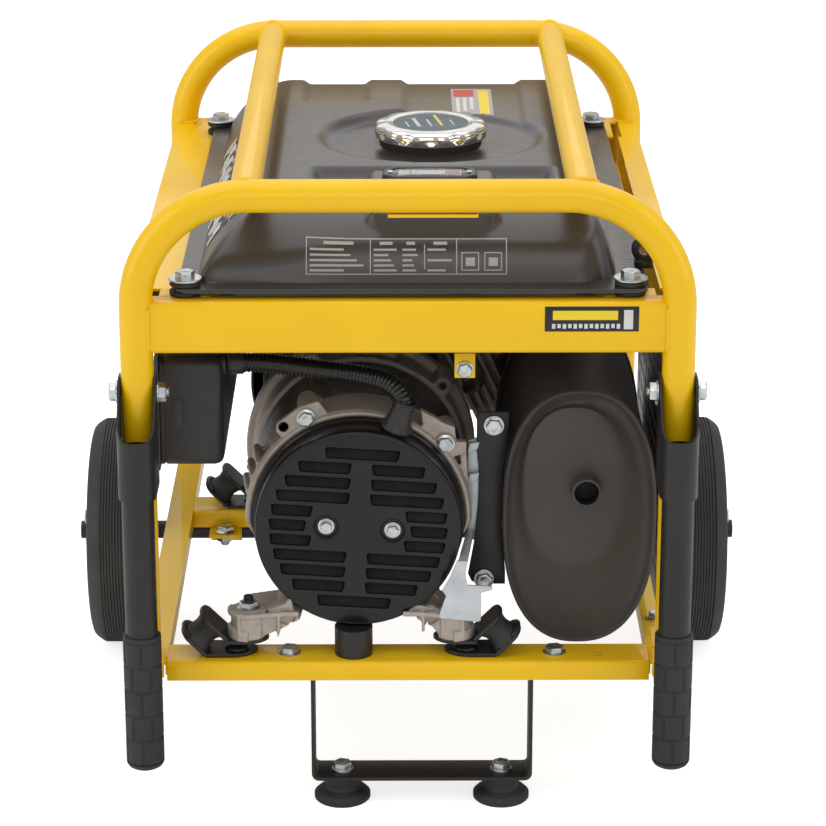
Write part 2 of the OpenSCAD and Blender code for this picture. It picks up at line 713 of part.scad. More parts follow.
module cylinder_head() color("#9c968f") placed() on_cylinder() difference() {
    union() {
        translate([0, 0, 66]) cylinder(r = 41.9, h = 96);
        for (z = [92 : 8 : 156]) translate([0, 0, z]) linear_extrude(3) rrect(112, 112, 12);
    }
    translate([0, 0, 65]) cylinder(r = 34, h = 70);
    // ports: exhaust towards the alternator, inlet towards the starter
    translate([0, 0, 148]) rotate([90, 0, 0]) cylinder(r = 13, h = 160, center = true);
}

module rocker_cover() color("#2a2929") placed() on_cylinder() difference() {
    translate([-10, 0, 162]) linear_extrude(30) rrect(76, 96, 14);
    translate([-10, 0, 161]) linear_extrude(28) rrect(71, 91, 12);
}

module spark_plug() color("#1e1e1e") placed() on_cylinder() translate([43, 0, 162]) {
    cylinder(r = 6, h = 14);
    translate([0, 0, 10]) cylinder(r = 9, h = 26);
}

module dipstick() color("#222222") placed() {
    rod_x([-135, 290, 176], 13, 12);
    rod_x([-123, 290, 176], 9, 24);
}

module flywheel() color("#8f9194") placed() on_shaft() translate([0, 0, case_end + 10]) difference() {
    union() {
        cylinder(r = 84, h = 26);
        for (a = [0 : 30 : 330]) rotate([0, 0, a]) translate([50, -1.5, 24]) cube([30, 3, 22]);
    }
    translate([0, 0, -1]) cylinder(r = 14, h = 60);
}

module cowl_outline(grow) {
    circle(r = 100 + grow);
    translate([0, -70 - grow]) square([100 + grow, 60]);
}

module fan_cowl() color("#262525") placed() on_shaft() difference() {
    translate([0, 0, case_end]) linear_extrude(cowl_end - case_end) cowl_outline(0);
    translate([0, 0, case_end - 1]) linear_extrude(cowl_end - case_end - 1) cowl_outline(-2);
    translate([0, 0, cowl_end - 10]) cylinder(r = 72, h = 20);
}

module recoil_housing() color("#2b2a2a") placed() difference() {
    union() {
        housing_shell();
        rod_x([grip_x + 1, pull_y - 10, grip_out_z], 10, 26);
    }
    on_shaft() for (a = [0 : 30 : 330]) rotate([0, 0, a]) translate([40, -5, 500]) cube([32, 10, 20]);
    rod_x([shaft_x - 140, pull_y - 10, grip_out_z], 6, 90);
}

module housing_shell() on_shaft() rotate_extrude() polygon([[0, 512], [58, 512], [84, 500], [92, 486],
    [92, cowl_end], [89, cowl_end], [89, 485], [82, 497.5], [57, 509], [9, 509], [9, 470], [0, 470]]);

module recoil_pulley() color("#d0ccc0") placed() on_shaft() difference() {
    rotate_extrude() polygon([[9 + slack, 474], [62, 474], [62, 477], [58, 479], [58, 487], [62, 489],
        [62, 492], [9 + slack, 492]]);
    for (a = [0 : 60 : 300]) rotate([0, 0, a]) translate([36, 0, 470]) cylinder(r = 10, h = 30);
}

module recoil_grip() color("#1c1c1c") placed() translate([grip_x, pull_y - 10, grip_out_z]) {
    rod_x([-18, 0, 0], 9, 14);
    translate([-14, 0, -30]) cylinder(r = 8, h = 60);
    rod_x([-6, 0, 0], 2, 30);
}

port_lean = 148;
port_x = shaft_x + port_lean * cos(tilt);
port_z = shaft_z + port_lean * sin(tilt);

module carburettor() color("#a9a9a6") placed() difference() {
    union() {
        rod_y([port_x, lean_y + 57, port_z], 20, 12);
        rod_y([port_x, lean_y + 69, port_z], 16, 56);
        translate([port_x, lean_y + 92, port_z - 46]) cylinder(r = 17, h = 40);
    }
    rod_y([port_x, lean_y, port_z], 11, 200);
    rod_x([port_x - 30, lean_y + 106, port_z], 2 + slack, 18);
}

module choke_lever() color("#1b1b1b") placed() translate([port_x - 30, lean_y + 106, port_z]) {
    rod_x([0, 0, 0], 2, 17.5);
    block(-3, 1, -4, 4, -3, 34);
}

filter_x = port_x + 26;
filter_y = lean_y + 126;

module air_filter() color("#272626") placed() difference() {
    xz(filter_y, filter_y + 84) translate([filter_x, port_z - 8]) rrect(112, 104, 16);
    xz(filter_y + 3, filter_y + 81) translate([filter_x, port_z - 8]) rrect(106, 98, 14);
    rod_y([port_x, filter_y - 10, port_z], 11, 20);
}

// ---------------------------------------------------------------- exhaust

module stadium(w, h) {
    square([w, h - w], center = true);
    for (s = [-1, 1]) translate([0, s * (h - w) / 2]) circle(r = w / 2);
}

outlet_x = 140;
outlet_z = 257;
plate_y = 52;
plate_bolts = [[68, 301.5], [61, 171.5]];

module muffler() color("#383433") placed() difference() {
    union() {
        xz(muffler_y + 6, muffler_end - 6) translate([muffler_x, muffler_z])
            stadium(muffler_w - 4, muffler_h - 4);
        xz(muffler_y, muffler_y + 6) translate([muffler_x, muffler_z]) stadium(muffler_w, muffler_h);
        xz(muffler_end - 6, muffler_end) translate([muffler_x, muffler_z]) stadium(muffler_w, muffler_h);
        rod_y([outlet_x, 16, outlet_z], 11.7, 20);
        // pipe that joins the exhaust port to the back of the muffler
        rod_y([port_x, muffler_end - 4, port_z], 14, lean_y - 56 - muffler_end + 4);
    }
    xz(muffler_y + 2, muffler_end - 2) translate([muffler_x, muffler_z])
        stadium(muffler_w - 8, muffler_h - 8);
    xz(muffler_y - 1, muffler_y + 1.2) translate([muffler_x, muffler_z])
        stadium(muffler_w - 24, muffler_h - 24);
    rod_y([outlet_x, 10, outlet_z], 9.7, 40);
    rod_y([port_x, muffler_end - 10, port_z], 12, 60);
}

module muffler_brackets() color("#2c2a2a") placed() {
    // plate beside the muffler
    difference() {
        xz(plate_y, plate_y + 3) polygon([[50, 176], [52, 160], [78, 160], [73, 200], [72, 270],
            [79, 309], [54, 309], [58, 250]]);
        for (p = plate_bolts) rod_y([p[0], 50, p[1]], 5, 8);
    }
    // stay between the plate and the engine foot
    difference() {
        xz(plate_y + 3, plate_y + 6) polygon([[36, 164], [52, 190], [54, 309], [76, 309], [76, 290],
            [62, 284], [60, 200], [70, 180], [70, 160], [50, 158], [50, 142], [36, 142]]);
        for (p = plate_bolts) rod_y([p[0], 50, p[1]], 5, 10);
    }
}

module heat_guard() color("#242323") placed() difference() {
    block(199, 201, 34, 285, 152, tray_low);
    for (i = [0 : 9], j = [0 : 11]) translate([195, 52 + i * 23, 170 + j * 16]) rotate([28, 0, 0])
        cube([10, 14, 5]);
}

// ---------------------------------------------------------------- electrics

module control_box() color("#2f2e2e") placed() difference() {
    block(box_x0, box_x1, box_y0, box_y1, box_z0, box_z1);
    block(box_x0 - 1, box_x1 - 3, box_y0 + 3, box_y1 - 3, box_z0 + 3, box_z1 - 3);
    rod_x([box_x1 - 5, 62, 350], 5, 10);
}

socket_ys = [100, 165];
switch_y = 285;
switch_z = 318;

module control_panel() color("#55585a") placed() difference() {
    block(box_x0 - 3, box_x0, box_y0 - 2, box_y1 + 2, box_z0 - 2, box_z1 + 2);
    for (y = socket_ys) rod_x([box_x0 - 5, y, 312], 22, 10);
    block(box_x0 - 5, box_x0 + 5, switch_y - 11, switch_y + 11, switch_z - 15, switch_z + 15);
}

module sockets() color("#2b4f86") placed() for (y = socket_ys) difference() {
    union() {
        rod_x([box_x0 - 8, y, 312], 26, 5);
        rod_x([box_x0 - 3, y, 312], 21.9, 30);
    }
    rod_x([box_x0 - 9, y, 312], 18, 15);
}

module engine_switch() color("#c02a24") placed() translate([box_x0 + 2, switch_y, switch_z]) difference() {
    rotate([90, 0, 0]) cylinder(r = 13, h = 20, center = true);
    block(3, 30, -20, 20, -20, 20);
}

// route of the wiring conduit, from the box to the top of the end cover
conduit_route = [[-142, 62, 350], [-126, 62, 350], [-110, 60, 350], [-95, 57, 349], [-80, 54, 348],
    [-65, 51, 347], [-50, 47, 346], [-38, 43, 345.5], [-27, 38, 345], [-17, 32, 344], [-9, 26, 340],
    [-4, 22, 334], [-2, 20, 326], [-2, 20, 318]];
conduit_r = 6.5;
conduit_sides = 12;

function unit(v) = v / norm(v);
function heading(p, i) = unit(p[min(i + 1, len(p) - 1)] - p[max(i - 1, 0)]);
function side_of(d) = unit(cross(d, [0, 1, 0.3]));
function ring_at(p, i, r, n) = let (d = heading(p, i), u = side_of(d), v = cross(d, u))
    [for (k = [0 : n - 1]) p[i] + r * (cos(360 * k / n) * u + sin(360 * k / n) * v)];

module swept_tube(p, r, n) polyhedron(
    points = [for (i = [0 : len(p) - 1]) each ring_at(p, i, r, n)],
    faces = concat([[for (k = [0 : n - 1]) k]],
        [for (i = [0 : len(p) - 2], k = [0 : n - 1]) let (a = i * n + k, b = i * n + (k + 1) % n)
            [a, a + n, b + n, b]],
        [[for (k = [n - 1 : -1 : 0]) (len(p) - 1) * n + k]]));

module conduit() color("#1a1a1a") placed() swept_tube(conduit_route, conduit_r, conduit_sides);

// ---------------------------------------------------------------- drawing

near_hoop();
far_hoop();
top_rails();
front_beam();
tray_beams();
bottom_rails();
cross_members();
foot_bracket();
rubber_feet();
frame_bolts();
axle();
axle_clamps();
left_tyre();
left_hub();
right_tyre();
right_hub();
left_handle();
left_grip();
right_handle();
right_grip();
tank_top();
tank_pan();
tank_mounts();
fuel_cap();
fuel_gauge();
fuel_tap();
tap_lever();
end_cover();
end_bracket();
shaft_bearing();
stator();
windings();
rotor();
drive_bracket();
machine_bolts();
support_post();
mount_rubbers();
mount_plates();
crankcase();
crankshaft();
cylinder_head();
rocker_cover();
spark_plug();
dipstick();
flywheel();
fan_cowl();
recoil_housing();
recoil_pulley();
recoil_grip();
carburettor();
choke_lever();
air_filter();
muffler();
muffler_brackets();
heat_guard();
control_box();
control_panel();
sockets();
engine_switch();
conduit();
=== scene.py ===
"""Visual model of an open-frame petrol generator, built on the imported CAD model.
"""
from math import copysign, cos, hypot, pi, radians, sin, sqrt, tan

import bmesh
import bpy
import numpy as np
from mathutils import Matrix, Vector


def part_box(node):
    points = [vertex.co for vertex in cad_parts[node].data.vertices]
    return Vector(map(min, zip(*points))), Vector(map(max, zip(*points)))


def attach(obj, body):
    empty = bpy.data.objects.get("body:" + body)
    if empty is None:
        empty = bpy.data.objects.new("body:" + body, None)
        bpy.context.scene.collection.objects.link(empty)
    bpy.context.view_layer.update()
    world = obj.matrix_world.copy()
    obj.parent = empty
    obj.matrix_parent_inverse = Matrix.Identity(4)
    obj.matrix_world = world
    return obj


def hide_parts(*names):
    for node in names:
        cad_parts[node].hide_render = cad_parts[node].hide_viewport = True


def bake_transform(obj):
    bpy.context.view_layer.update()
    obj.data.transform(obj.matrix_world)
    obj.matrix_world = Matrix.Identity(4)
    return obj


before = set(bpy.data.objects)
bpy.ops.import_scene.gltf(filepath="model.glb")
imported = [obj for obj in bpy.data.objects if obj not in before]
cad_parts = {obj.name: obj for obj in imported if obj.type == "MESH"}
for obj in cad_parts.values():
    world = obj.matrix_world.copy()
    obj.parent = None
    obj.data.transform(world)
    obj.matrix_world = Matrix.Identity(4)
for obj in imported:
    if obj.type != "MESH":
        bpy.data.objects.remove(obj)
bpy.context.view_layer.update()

MM = 0.001
TUBE_R = 12.7
UP, DOWN, FORWARD, BACKWARD, RIGHT = (0, 0, 1), (0, 0, -1), (0, -1, 0), (0, 1, 0), (1, 0, 0)
ROW_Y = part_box("near_hoop")[0].y + TUBE_R * MM     # the near hoop's plane in the CAD frame
TO_ROW = Matrix.Translation((0, ROW_Y, 0)) @ Matrix.Scale(MM, 4)


def box(node):
    """Lowest and highest corners of a CAD node in machine millimetres."""
    low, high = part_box(node)
    back = TO_ROW.inverted()
    return back @ low, back @ high


def middle(node):
    low, high = box(node)
    return (low + high) / 2


# ------------------------------------------------------------------ materials

MATERIALS = {}


class Nodes:
    """Short way to build one shader: nodes by type, links by name; MATERIALS keeps it."""

    def __init__(self, name):
        self.material = MATERIALS[name] = bpy.data.materials.new(name)
        self.material.use_nodes = True
        self.tree = self.material.node_tree
        self.shader = self.tree.nodes["Principled BSDF"]
        self.place = self.add("ShaderNodeTexCoord").outputs["Object"]

    def add(self, kind, **settings):
        node = self.tree.nodes.new(kind)
        for key, value in settings.items():
            if hasattr(node, key):
                setattr(node, key, value)
            else:
                node.inputs[key.replace("_", " ")].default_value = value
        return node

    def link(self, source, target):
        self.tree.links.new(source, target)

    def noise(self, scale, detail=4.0, roughness=0.55, stretch=None):
        node = self.add("ShaderNodeTexNoise", Scale=scale, Detail=detail, Roughness=roughness)
        place = self.place
        if stretch:
            mapping = self.add("ShaderNodeMapping")
            mapping.inputs["Scale"].default_value = stretch
            self.link(place, mapping.inputs["Vector"])
            place = mapping.outputs["Vector"]
        self.link(place, node.inputs["Vector"])
        return node.outputs["Fac"]

    def ramp(self, source, low, high, start=0.3, end=0.7):
        """source from start to end gives a number or a colour from low to high."""
        if isinstance(low, (int, float)):
            node = self.add("ShaderNodeMapRange", From_Min=start, From_Max=end, To_Min=low, To_Max=high)
            self.link(source, node.inputs["Value"])
            return node.outputs["Result"]
        node = self.add("ShaderNodeValToRGB")
        node.color_ramp.elements[0].position = start
        node.color_ramp.elements[1].position = end
        node.color_ramp.elements[0].color = (*low, 1)
        node.color_ramp.elements[1].color = (*high, 1)
        self.link(source, node.inputs["Fac"])
        return node.outputs["Color"]

    def math(self, operation, a, b):
        node = self.add("ShaderNodeMath", operation=operation)
        for value, socket in ((a, node.inputs[0]), (b, node.inputs[1])):
            if isinstance(value, (int, float)):
                socket.default_value = value
            else:
                self.link(value, socket)
        return node.outputs["Value"]

    def bump(self, source, distance, strength=1.0, under=None):
        node = self.add("ShaderNodeBump", Distance=distance, Strength=strength)
        self.link(source, node.inputs["Height"])
        if under is not None:
            self.link(under, node.inputs["Normal"])
        return node.outputs["Normal"]

    def set(self, **values):
        for key, value in values.items():
            self.shader.inputs[key.replace("_", " ")].default_value = value

    def use(self, **sockets):
        for key, value in sockets.items():
            self.link(value, self.shader.inputs[key.replace("_", " ")])


def rgb(shown):
    """Colour of a surface, from display values of 0 to 255."""
    return tuple((v / 255 / 12.92) if v < 10.3 else ((v / 255 + 0.055) / 1.055) ** 2.4 for v in shown)


def coated(name, dark, light, rough=(0.3, 0.4), peel=0.00004, peel_scale=420, coat=0.0, coat_rough=0.1,
           grain=0.0, grain_scale=2600, level=0.5):
    """Paint, powder coat or moulded plastic: mottled colour, orange peel, and fine grain."""
    n = Nodes(name)
    broad = n.noise(9, 5)
    n.use(Base_Color=n.ramp(broad, rgb(dark), rgb(light)), Roughness=n.ramp(n.noise(60, 6), *rough))
    normal = n.bump(n.noise(peel_scale, 2), peel)
    if grain:
        normal = n.bump(n.noise(grain_scale, 2), grain, under=normal)
    n.use(Normal=normal)
    n.set(Coat_Weight=coat, Coat_Roughness=coat_rough, Specular_IOR_Level=level)


def metal(name, dark, light, rough=(0.25, 0.45), scale=160, stretch=None, bump=0.00002, bump_scale=900,
          metallic=1.0):
    n = Nodes(name)
    n.use(Base_Color=n.ramp(n.noise(scale, 5, stretch=stretch), rgb(dark), rgb(light)),
          Roughness=n.ramp(n.noise(scale * 1.7, 6, stretch=stretch), *rough),
          Normal=n.bump(n.noise(bump_scale, 3, stretch=stretch), bump))
    n.set(Metallic=metallic)


def lines_material(name, dark, light, axis, pitch, depth, rough, metallic=0.0):
    """Fine parallel grooves across one axis, as on stacked laminations or wound wire."""
    n = Nodes(name)
    split = n.add("ShaderNodeSeparateXYZ")
    n.link(n.place, split.inputs["Vector"])
    wave = n.math("SINE", n.math("MULTIPLY", split.outputs[axis], 2 * pi / pitch), 0.0)
    mottle = n.math("ADD", n.math("MULTIPLY", wave, 0.25), n.noise(130, 5))
    n.use(Base_Color=n.ramp(mottle, rgb(dark), rgb(light), 0.2, 0.8),
          Roughness=n.ramp(n.noise(200, 5), *rough), Normal=n.bump(wave, depth))
    n.set(Metallic=metallic)


coated("frame_paint", (244, 192, 2), (250, 202, 6), (0.4, 0.5), 0.00002, 500, coat=0.45, coat_rough=0.05,
       level=0.2)
coated("black_paint", (27, 26, 26), (35, 33, 33), (0.34, 0.46), 0.00003, 700, grain=0.00001)
coated("cover_paint", (18, 17, 18), (25, 23, 24), (0.28, 0.38), 0.00003, 420, coat=0.25, coat_rough=0.15,
       level=0.3)
coated("tank_paint", (57, 53, 50), (63, 58, 55), (0.3, 0.36), 0.000008, 380, coat=0.3, coat_rough=0.2)
coated("heat_paint", (62, 57, 55), (71, 66, 63), (0.5, 0.62), 0.00003, 900, grain=0.00002, grain_scale=1800)
metal("zinc", (178, 184, 188), (226, 228, 226), (0.22, 0.4), 120)
metal("zinc_plate", (186, 192, 196), (216, 220, 222), (0.34, 0.5), 50, metallic=0.5)
# near-black painted shade: closes the cover's slots, the exhaust outlet and the stay's hole, where there is
# only dark depth
coated("bore_black", (6, 6, 6), (11, 10, 10), (0.7, 0.85), 0.00003, 500)
metal("chrome", (214, 214, 214), (232, 232, 230), (0.05, 0.14), 60, bump=0.000004)
metal("cast_alloy", (170, 160, 150), (186, 177, 167), (0.44, 0.56), 160, bump=0.00004, bump_scale=900,
      metallic=0.35)
coated("dark_cast", (44, 42, 41), (62, 59, 57), (0.45, 0.6), 0.0001, 480)
metal("shaft_steel", (150, 150, 152), (190, 190, 190), (0.25, 0.4), 300, stretch=(8, 1, 8))
lines_material("lamination", (70, 70, 72), (140, 140, 142), "Y", 0.0012, 0.0002, (0.4, 0.55), 0.8)
lines_material("copper", (120, 48, 22), (196, 104, 52), "Z", 0.0016, 0.0005, (0.3, 0.42), 0.35)
coated("tyre", (48, 47, 46), (60, 58, 56), (0.62, 0.78), 0.0001, 300, grain=0.00003)
coated("rubber", (36, 35, 35), (50, 48, 47), (0.55, 0.7), 0.00006, 500, grain=0.00002)
coated("black_plastic", (38, 37, 37), (48, 47, 46), (0.38, 0.5), 0.00003, 800, grain=0.00003,
       grain_scale=1500)
coated("gloss_plastic", (26, 25, 25), (34, 33, 33), (0.2, 0.3), 0.00002, 500)
coated("panel", (64, 66, 68), (76, 78, 80), (0.4, 0.5), 0.00002, 900, grain=0.00002)
coated("socket", (24, 62, 122), (32, 74, 140), (0.3, 0.4), 0.00002, 700)
coated("red_plastic", (176, 26, 20), (200, 36, 28), (0.25, 0.35), 0.00002, 600)
coated("nylon", (200, 196, 184), (216, 212, 200), (0.4, 0.5), 0.00002, 600)
for ink in (
        ("print_white", (206, 206, 204), (222, 222, 220), (0.45, 0.5)),
        # black ink, also the painted shade of the holes in the cross members and the end bracket's pad
        ("print_black", (24, 23, 24), (32, 31, 32), (0.3, 0.36)),
        ("print_grey", (158, 156, 154), (178, 176, 174), (0.4, 0.5)),
        ("print_yellow", (236, 206, 24), (244, 214, 40), (0.35, 0.4)),
        ("print_blue", (56, 70, 80), (66, 80, 90), (0.3, 0.4)),
        ("print_red", (186, 60, 50), (200, 76, 64), (0.4, 0.5)),
        ("gauge_white", (222, 222, 218), (234, 234, 230), (0.4, 0.5))):
    coated(*ink, peel=0.00001, peel_scale=500)


def window_plastic():
    """Clear moulded window with a faint haze."""
    n = Nodes("clear_plastic")
    n.use(Roughness=n.ramp(n.noise(90, 4), 0.04, 0.12), Normal=n.bump(n.noise(160, 2), 0.00003))
    n.set(Base_Color=(0.95, 0.96, 0.96, 1), Transmission_Weight=0.92, IOR=1.45)


window_plastic()

# ------------------------------------------------------------------ mesh tools

def finish(name, bm, material, slot=None, replaces=(), body="machine", sharp=35, bevel=0.0, smooth=0,
           move=None):
    """Turns a bmesh in machine millimetres into a piece that rides on a body."""
    mesh = bpy.data.meshes.new(name)
    bmesh.ops.recalc_face_normals(bm, faces=bm.faces)
    bm.to_mesh(mesh)
    bm.free()
    if move is not None:
        mesh.transform(move)
    mesh.transform(TO_ROW)
    piece = bpy.data.objects.new(name, mesh)
    bpy.context.scene.collection.objects.link(piece)
    for each in material if isinstance(material, (list, tuple)) else [material]:
        mesh.materials.append(MATERIALS[each])
    if bevel or smooth:
        if bevel:
            tool = piece.modifiers.new("bevel", "BEVEL")
            tool.width = bevel * MM
            tool.segments = 2
            tool.limit_method = "ANGLE"
            tool.angle_limit = radians(40)
        if smooth:
            piece.modifiers.new("subdivide", "SUBSURF").levels = smooth
        shaped = bpy.data.meshes.new_from_object(piece.evaluated_get(bpy.context.evaluated_depsgraph_get()))
        piece.modifiers.clear()
        piece.data = shaped
        shaped.name = name
    piece.data.shade_smooth()
    piece.data.set_sharp_from_angle(angle=radians(sharp))
    if body:
        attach(piece, body)
    if replaces:
        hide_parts(*replaces)
    return piece


def loop_faces(bm, loops, closed=True, cap_start=False, cap_end=False, material=0):
    """Skins neighbouring loops of vertices that have one length."""
    rings = [[bm.verts.new(p) for p in loop] for loop in loops]
    count = len(rings[0])
    for a, b in zip(rings, rings[1:]):
        for i in range(count if closed else count - 1):
            j = (i + 1) % count
            bm.faces.new((a[i], a[j], b[j], b[i])).material_index = material
    if cap_start:
        bm.faces.new(list(reversed(rings[0]))).material_index = material
    if cap_end:
        bm.faces.new(rings[-1]).material_index = material
    return rings


def basis(direction):
    """Two unit vectors square to a direction."""
    d = Vector(direction).normalized()
    side = d.cross(Vector((0, 0, 1)) if abs(d.z) < 0.9 else Vector((1, 0, 0))).normalized()
    return d, side, d.cross(side)


def lathe(bm, origin, direction, profile, sides=64, material=0, caps=(False, False), radius_at=None):
    """Turns a profile of (distance along, radius) about an axis; radius_at(angle, along, r) may shape it."""
    d, u, v = basis(direction)
    origin = Vector(origin)
    loops = []
    for along, r in profile:
        loop = []
        for i in range(sides):
            a = 2 * pi * i / sides
            rr = radius_at(a, along, r) if radius_at else r
            loop.append(origin + d * along + (u * cos(a) + v * sin(a)) * max(rr, 1e-4))
        loops.append(loop)
    loop_faces(bm, loops, True, caps[0], caps[1], material)


def sweep(bm, path, radius, sides=16, closed=False, material=0, caps=True):
    """Tube along points; radius is a number or a function of the length travelled."""
    path = [Vector(p) for p in path]
    count = len(path)
    u = basis(path[1] - path[0])[1]
    travelled = 0.0
    loops = []
    for i, p in enumerate(path):
        after = path[(i + 1) % count] if closed or i + 1 < count else p
        before = path[i - 1] if closed or i > 0 else p
        heading = (after - before).normalized()
        u = (u - heading * u.dot(heading)).normalized()
        v = heading.cross(u)
        if i:
            travelled += (p - path[i - 1]).length
        r = radius(travelled) if callable(radius) else radius
        loops.append([p + (u * cos(2 * pi * k / sides) + v * sin(2 * pi * k / sides)) * r
                      for k in range(sides)])
    if closed:
        loops.append(loops[0])
    loop_faces(bm, loops, True, caps and not closed, caps and not closed, material)


def smooth_path(points, step=4.0):
    """Catmull-Rom curve through points, resampled at about one step."""
    points = [Vector(p) for p in points]
    ends = [2 * points[0] - points[1], *points, 2 * points[-1] - points[-2]]
    made = []
    for a, b, c, d in zip(ends, ends[1:], ends[2:], ends[3:]):
        parts = max(2, round((c - b).length / step))
        for k in range(parts):
            t = k / parts
            made.append(0.5 * ((2 * b) + (c - a) * t + (2 * a - 5 * b + 4 * c - d) * t * t
                               + (3 * b - a - 3 * c + d) * t ** 3))
    made.append(points[-1])
    return made


def add_box(bm, low, high, material=0, turn=None):
    verts = [Vector((x, y, z)) for x in (low[0], high[0]) for y in (low[1], high[1])
             for z in (low[2], high[2])]
    if turn is not None:
        verts = [turn @ v for v in verts]
    vs = [bm.verts.new(v) for v in verts]
    for face in ((0, 1, 3, 2), (4, 6, 7, 5), (0, 4, 5, 1), (2, 3, 7, 6), (0, 2, 6, 4), (1, 5, 7, 3)):
        bm.faces.new([vs[i] for i in face]).material_index = material


def arc(centre, radius, start, end, steps=8):
    """Points of an arc in a plane, angles in degrees."""
    return [(centre[0] + radius * cos(radians(start + (end - start) * k / steps)),
             centre[1] + radius * sin(radians(start + (end - start) * k / steps)))
            for k in range(steps + 1)]


def round_rect(w, h, r, centre=(0, 0), steps=6):
    made = []
    for sx, sy, a in ((1, 1, 0), (-1, 1, 90), (-1, -1, 180), (1, -1, 270)):
        made += arc((centre[0] + sx * (w / 2 - r), centre[1] + sy * (h / 2 - r)), r, a, a + 90, steps)
    return made


def circle(r, centre=(0, 0), steps=24):
    return arc(centre, r, 0, 360 - 360 / steps, steps - 1)


# planes for flat outlines: where a point (a, b) of the outline lands, and which way is out
FACING = {
    "front": lambda a, b, c: (a, c, b),      # outline in X and Z, thickness along Y
    "side": lambda a, b, c: (c, a, b),       # outline in Y and Z, thickness along X
    "flat": lambda a, b, c: (a, b, c),       # outline in X and Y, thickness along Z
}


def plate(name, outlines, facing, level, thickness, material, edge=0.4, move=None, **more):
    """Sheet with rounded edges. outlines holds the outer outline and then the holes."""
    curve = bpy.data.curves.new(name, "CURVE")
    curve.dimensions = "2D"
    curve.fill_mode = "BOTH"
    curve.extrude = thickness / 2 - edge
    curve.bevel_depth = edge
    curve.bevel_resolution = 2
    curve.offset = -edge
    for outline in outlines:
        spline = curve.splines.new("POLY")
        spline.points.add(len(outline) - 1)
        spline.use_cyclic_u = True
        for point, (a, b) in zip(spline.points, outline):
            point.co = (a, b, 0, 1)
    flat = bpy.data.objects.new(name + "_outline", curve)
    mesh = bpy.data.meshes.new_from_object(flat)
    bm = bmesh.new()
    bm.from_mesh(mesh)
    bmesh.ops.remove_doubles(bm, verts=bm.verts, dist=0.01)
    put = FACING[facing]
    for v in bm.verts:
        v.co = Vector(put(v.co.x, v.co.y, v.co.z + level))
    bpy.data.objects.remove(flat)
    bpy.data.curves.remove(curve)
    bpy.data.meshes.remove(mesh)
    return finish(name, bm, material, move=move, **more)


def bent_sheet(bm, line, thickness, radius, low, high, facing, material=0, steps=5):
    """Sheet bent along a line of points, with rounded bends, as wide as low to high."""
    line = [Vector((*p, 0)) for p in line]
    centre = [line[0]]
    for a, b, c in zip(line, line[1:], line[2:]):
        before, after = (a - b).normalized(), (c - b).normalized()
        half = before.angle(after) / 2
        reach = min(radius / tan(half), 0.49 * (a - b).length, 0.49 * (c - b).length)
        start, end = b + before * reach, b + after * reach
        for k in range(steps + 1):
            t = k / steps
            centre.append(start * (1 - t) ** 2 + b * 2 * t * (1 - t) + end * t * t)
    centre.append(line[-1])
    left, right = [], []
    for i, p in enumerate(centre):
        heading = (centre[min(i + 1, len(centre) - 1)] - centre[max(i - 1, 0)]).normalized()
        out = Vector((-heading.y, heading.x, 0)) * thickness / 2
        left.append(p + out)
        right.append(p - out)
    outline = left + right[::-1]
    put = FACING[facing]
    loop_faces(bm, [[put(p.x, p.y, level) for p in outline] for level in (low, high)], True)
    count = len(left)
    verts = list(bm.verts)[-2 * len(outline):]
    for ring in (verts[:len(outline)], verts[len(outline):]):
        for i in range(count - 1):
            bm.faces.new((ring[i], ring[i + 1], ring[2 * count - 2 - i],
                          ring[2 * count - 1 - i])).material_index = material


def hex_bolt(bm, head_at, direction, size, washer=0.0, flange=False, washer_t=1.6, turn=0.0, dome=True):
    """Bolt whose head stands out along direction from head_at; size is the thread's diameter."""
    d, u, v = basis(direction)
    at = Vector(head_at)
    if washer:
        lathe(bm, at, d, [(0, size * 0.52), (0, washer - 0.4), (0.3, washer), (washer_t - 0.3, washer),
                          (washer_t, washer - 0.4), (washer_t, size * 0.52)], 40)
        at = at + d * washer_t
    if flange:
        lathe(bm, at, d, [(0, size * 0.5), (0, size * 1.12), (size * 0.1, size * 1.14),
                          (size * 0.24, size * 0.85)], 36)
    high = size * 0.68
    corner = size * 0.95
    steps = [(0, 1), (high * 0.82, 1), (high * 0.96, 0.93), (high, 0.84)]
    if dome:
        steps += [(high * 0.97, 0.6), (high * 0.93, 0.5)]
    rings = [[at + d * along + (u * cos(turn + k * pi / 3) + v * sin(turn + k * pi / 3))
              * corner * scale for k in range(6)] for along, scale in steps]
    loop_faces(bm, rings, True, True, True)


def nut(bm, at, direction, size, tip=0.0, washer=0.0, turn=0.3):
    """Nut that stands along direction, with the threaded tip of its bolt."""
    hex_bolt(bm, at, direction, size, washer=washer, turn=turn, dome=False)
    if tip:
        d = Vector(direction).normalized()
        base = Vector(at) + d * (1.6 if washer else 0)
        pitch = size * 0.16
        profile = [(0, size * 0.48)]
        z = size * 0.6
        while z < size * 0.68 + tip - 1:
            profile += [(z, size * 0.5), (z + pitch * 0.5, size * 0.43)]
            z += pitch
        profile += [(size * 0.68 + tip - 0.6, size * 0.46), (size * 0.68 + tip, size * 0.36)]
        lathe(bm, base, d, profile, 20, caps=(False, True))


def grid_surface(bm, xs, ys, place, material=0):
    """Quad grid; place(x, y) gives each point, or None to leave it out."""
    verts = [[None if (p := place(x, y)) is None else bm.verts.new(p) for x in xs] for y in ys]
    for lower, upper in zip(verts, verts[1:]):
        for i in range(len(xs) - 1):
            corners = (lower[i], lower[i + 1], upper[i + 1], upper[i])
            if None not in corners:
                bm.faces.new(corners).material_index = material


def spaced(start, end, step):
    count = max(1, round(abs(end - start) / step))
    return [start + (end - start) * k / count for k in range(count + 1)]


def ease(value, start, end):
    """0 before start, 1 after end, smooth between."""
    t = min(max((value - start) / (end - start), 0.0), 1.0)
    return t * t * (3 - 2 * t)


def around(steps):
    """Angles of one full turn, in radians."""
    return [2 * pi * k / steps for k in range(steps)]


def polar(radius, degrees):
    return radius * cos(radians(degrees)), radius * sin(radians(degrees))


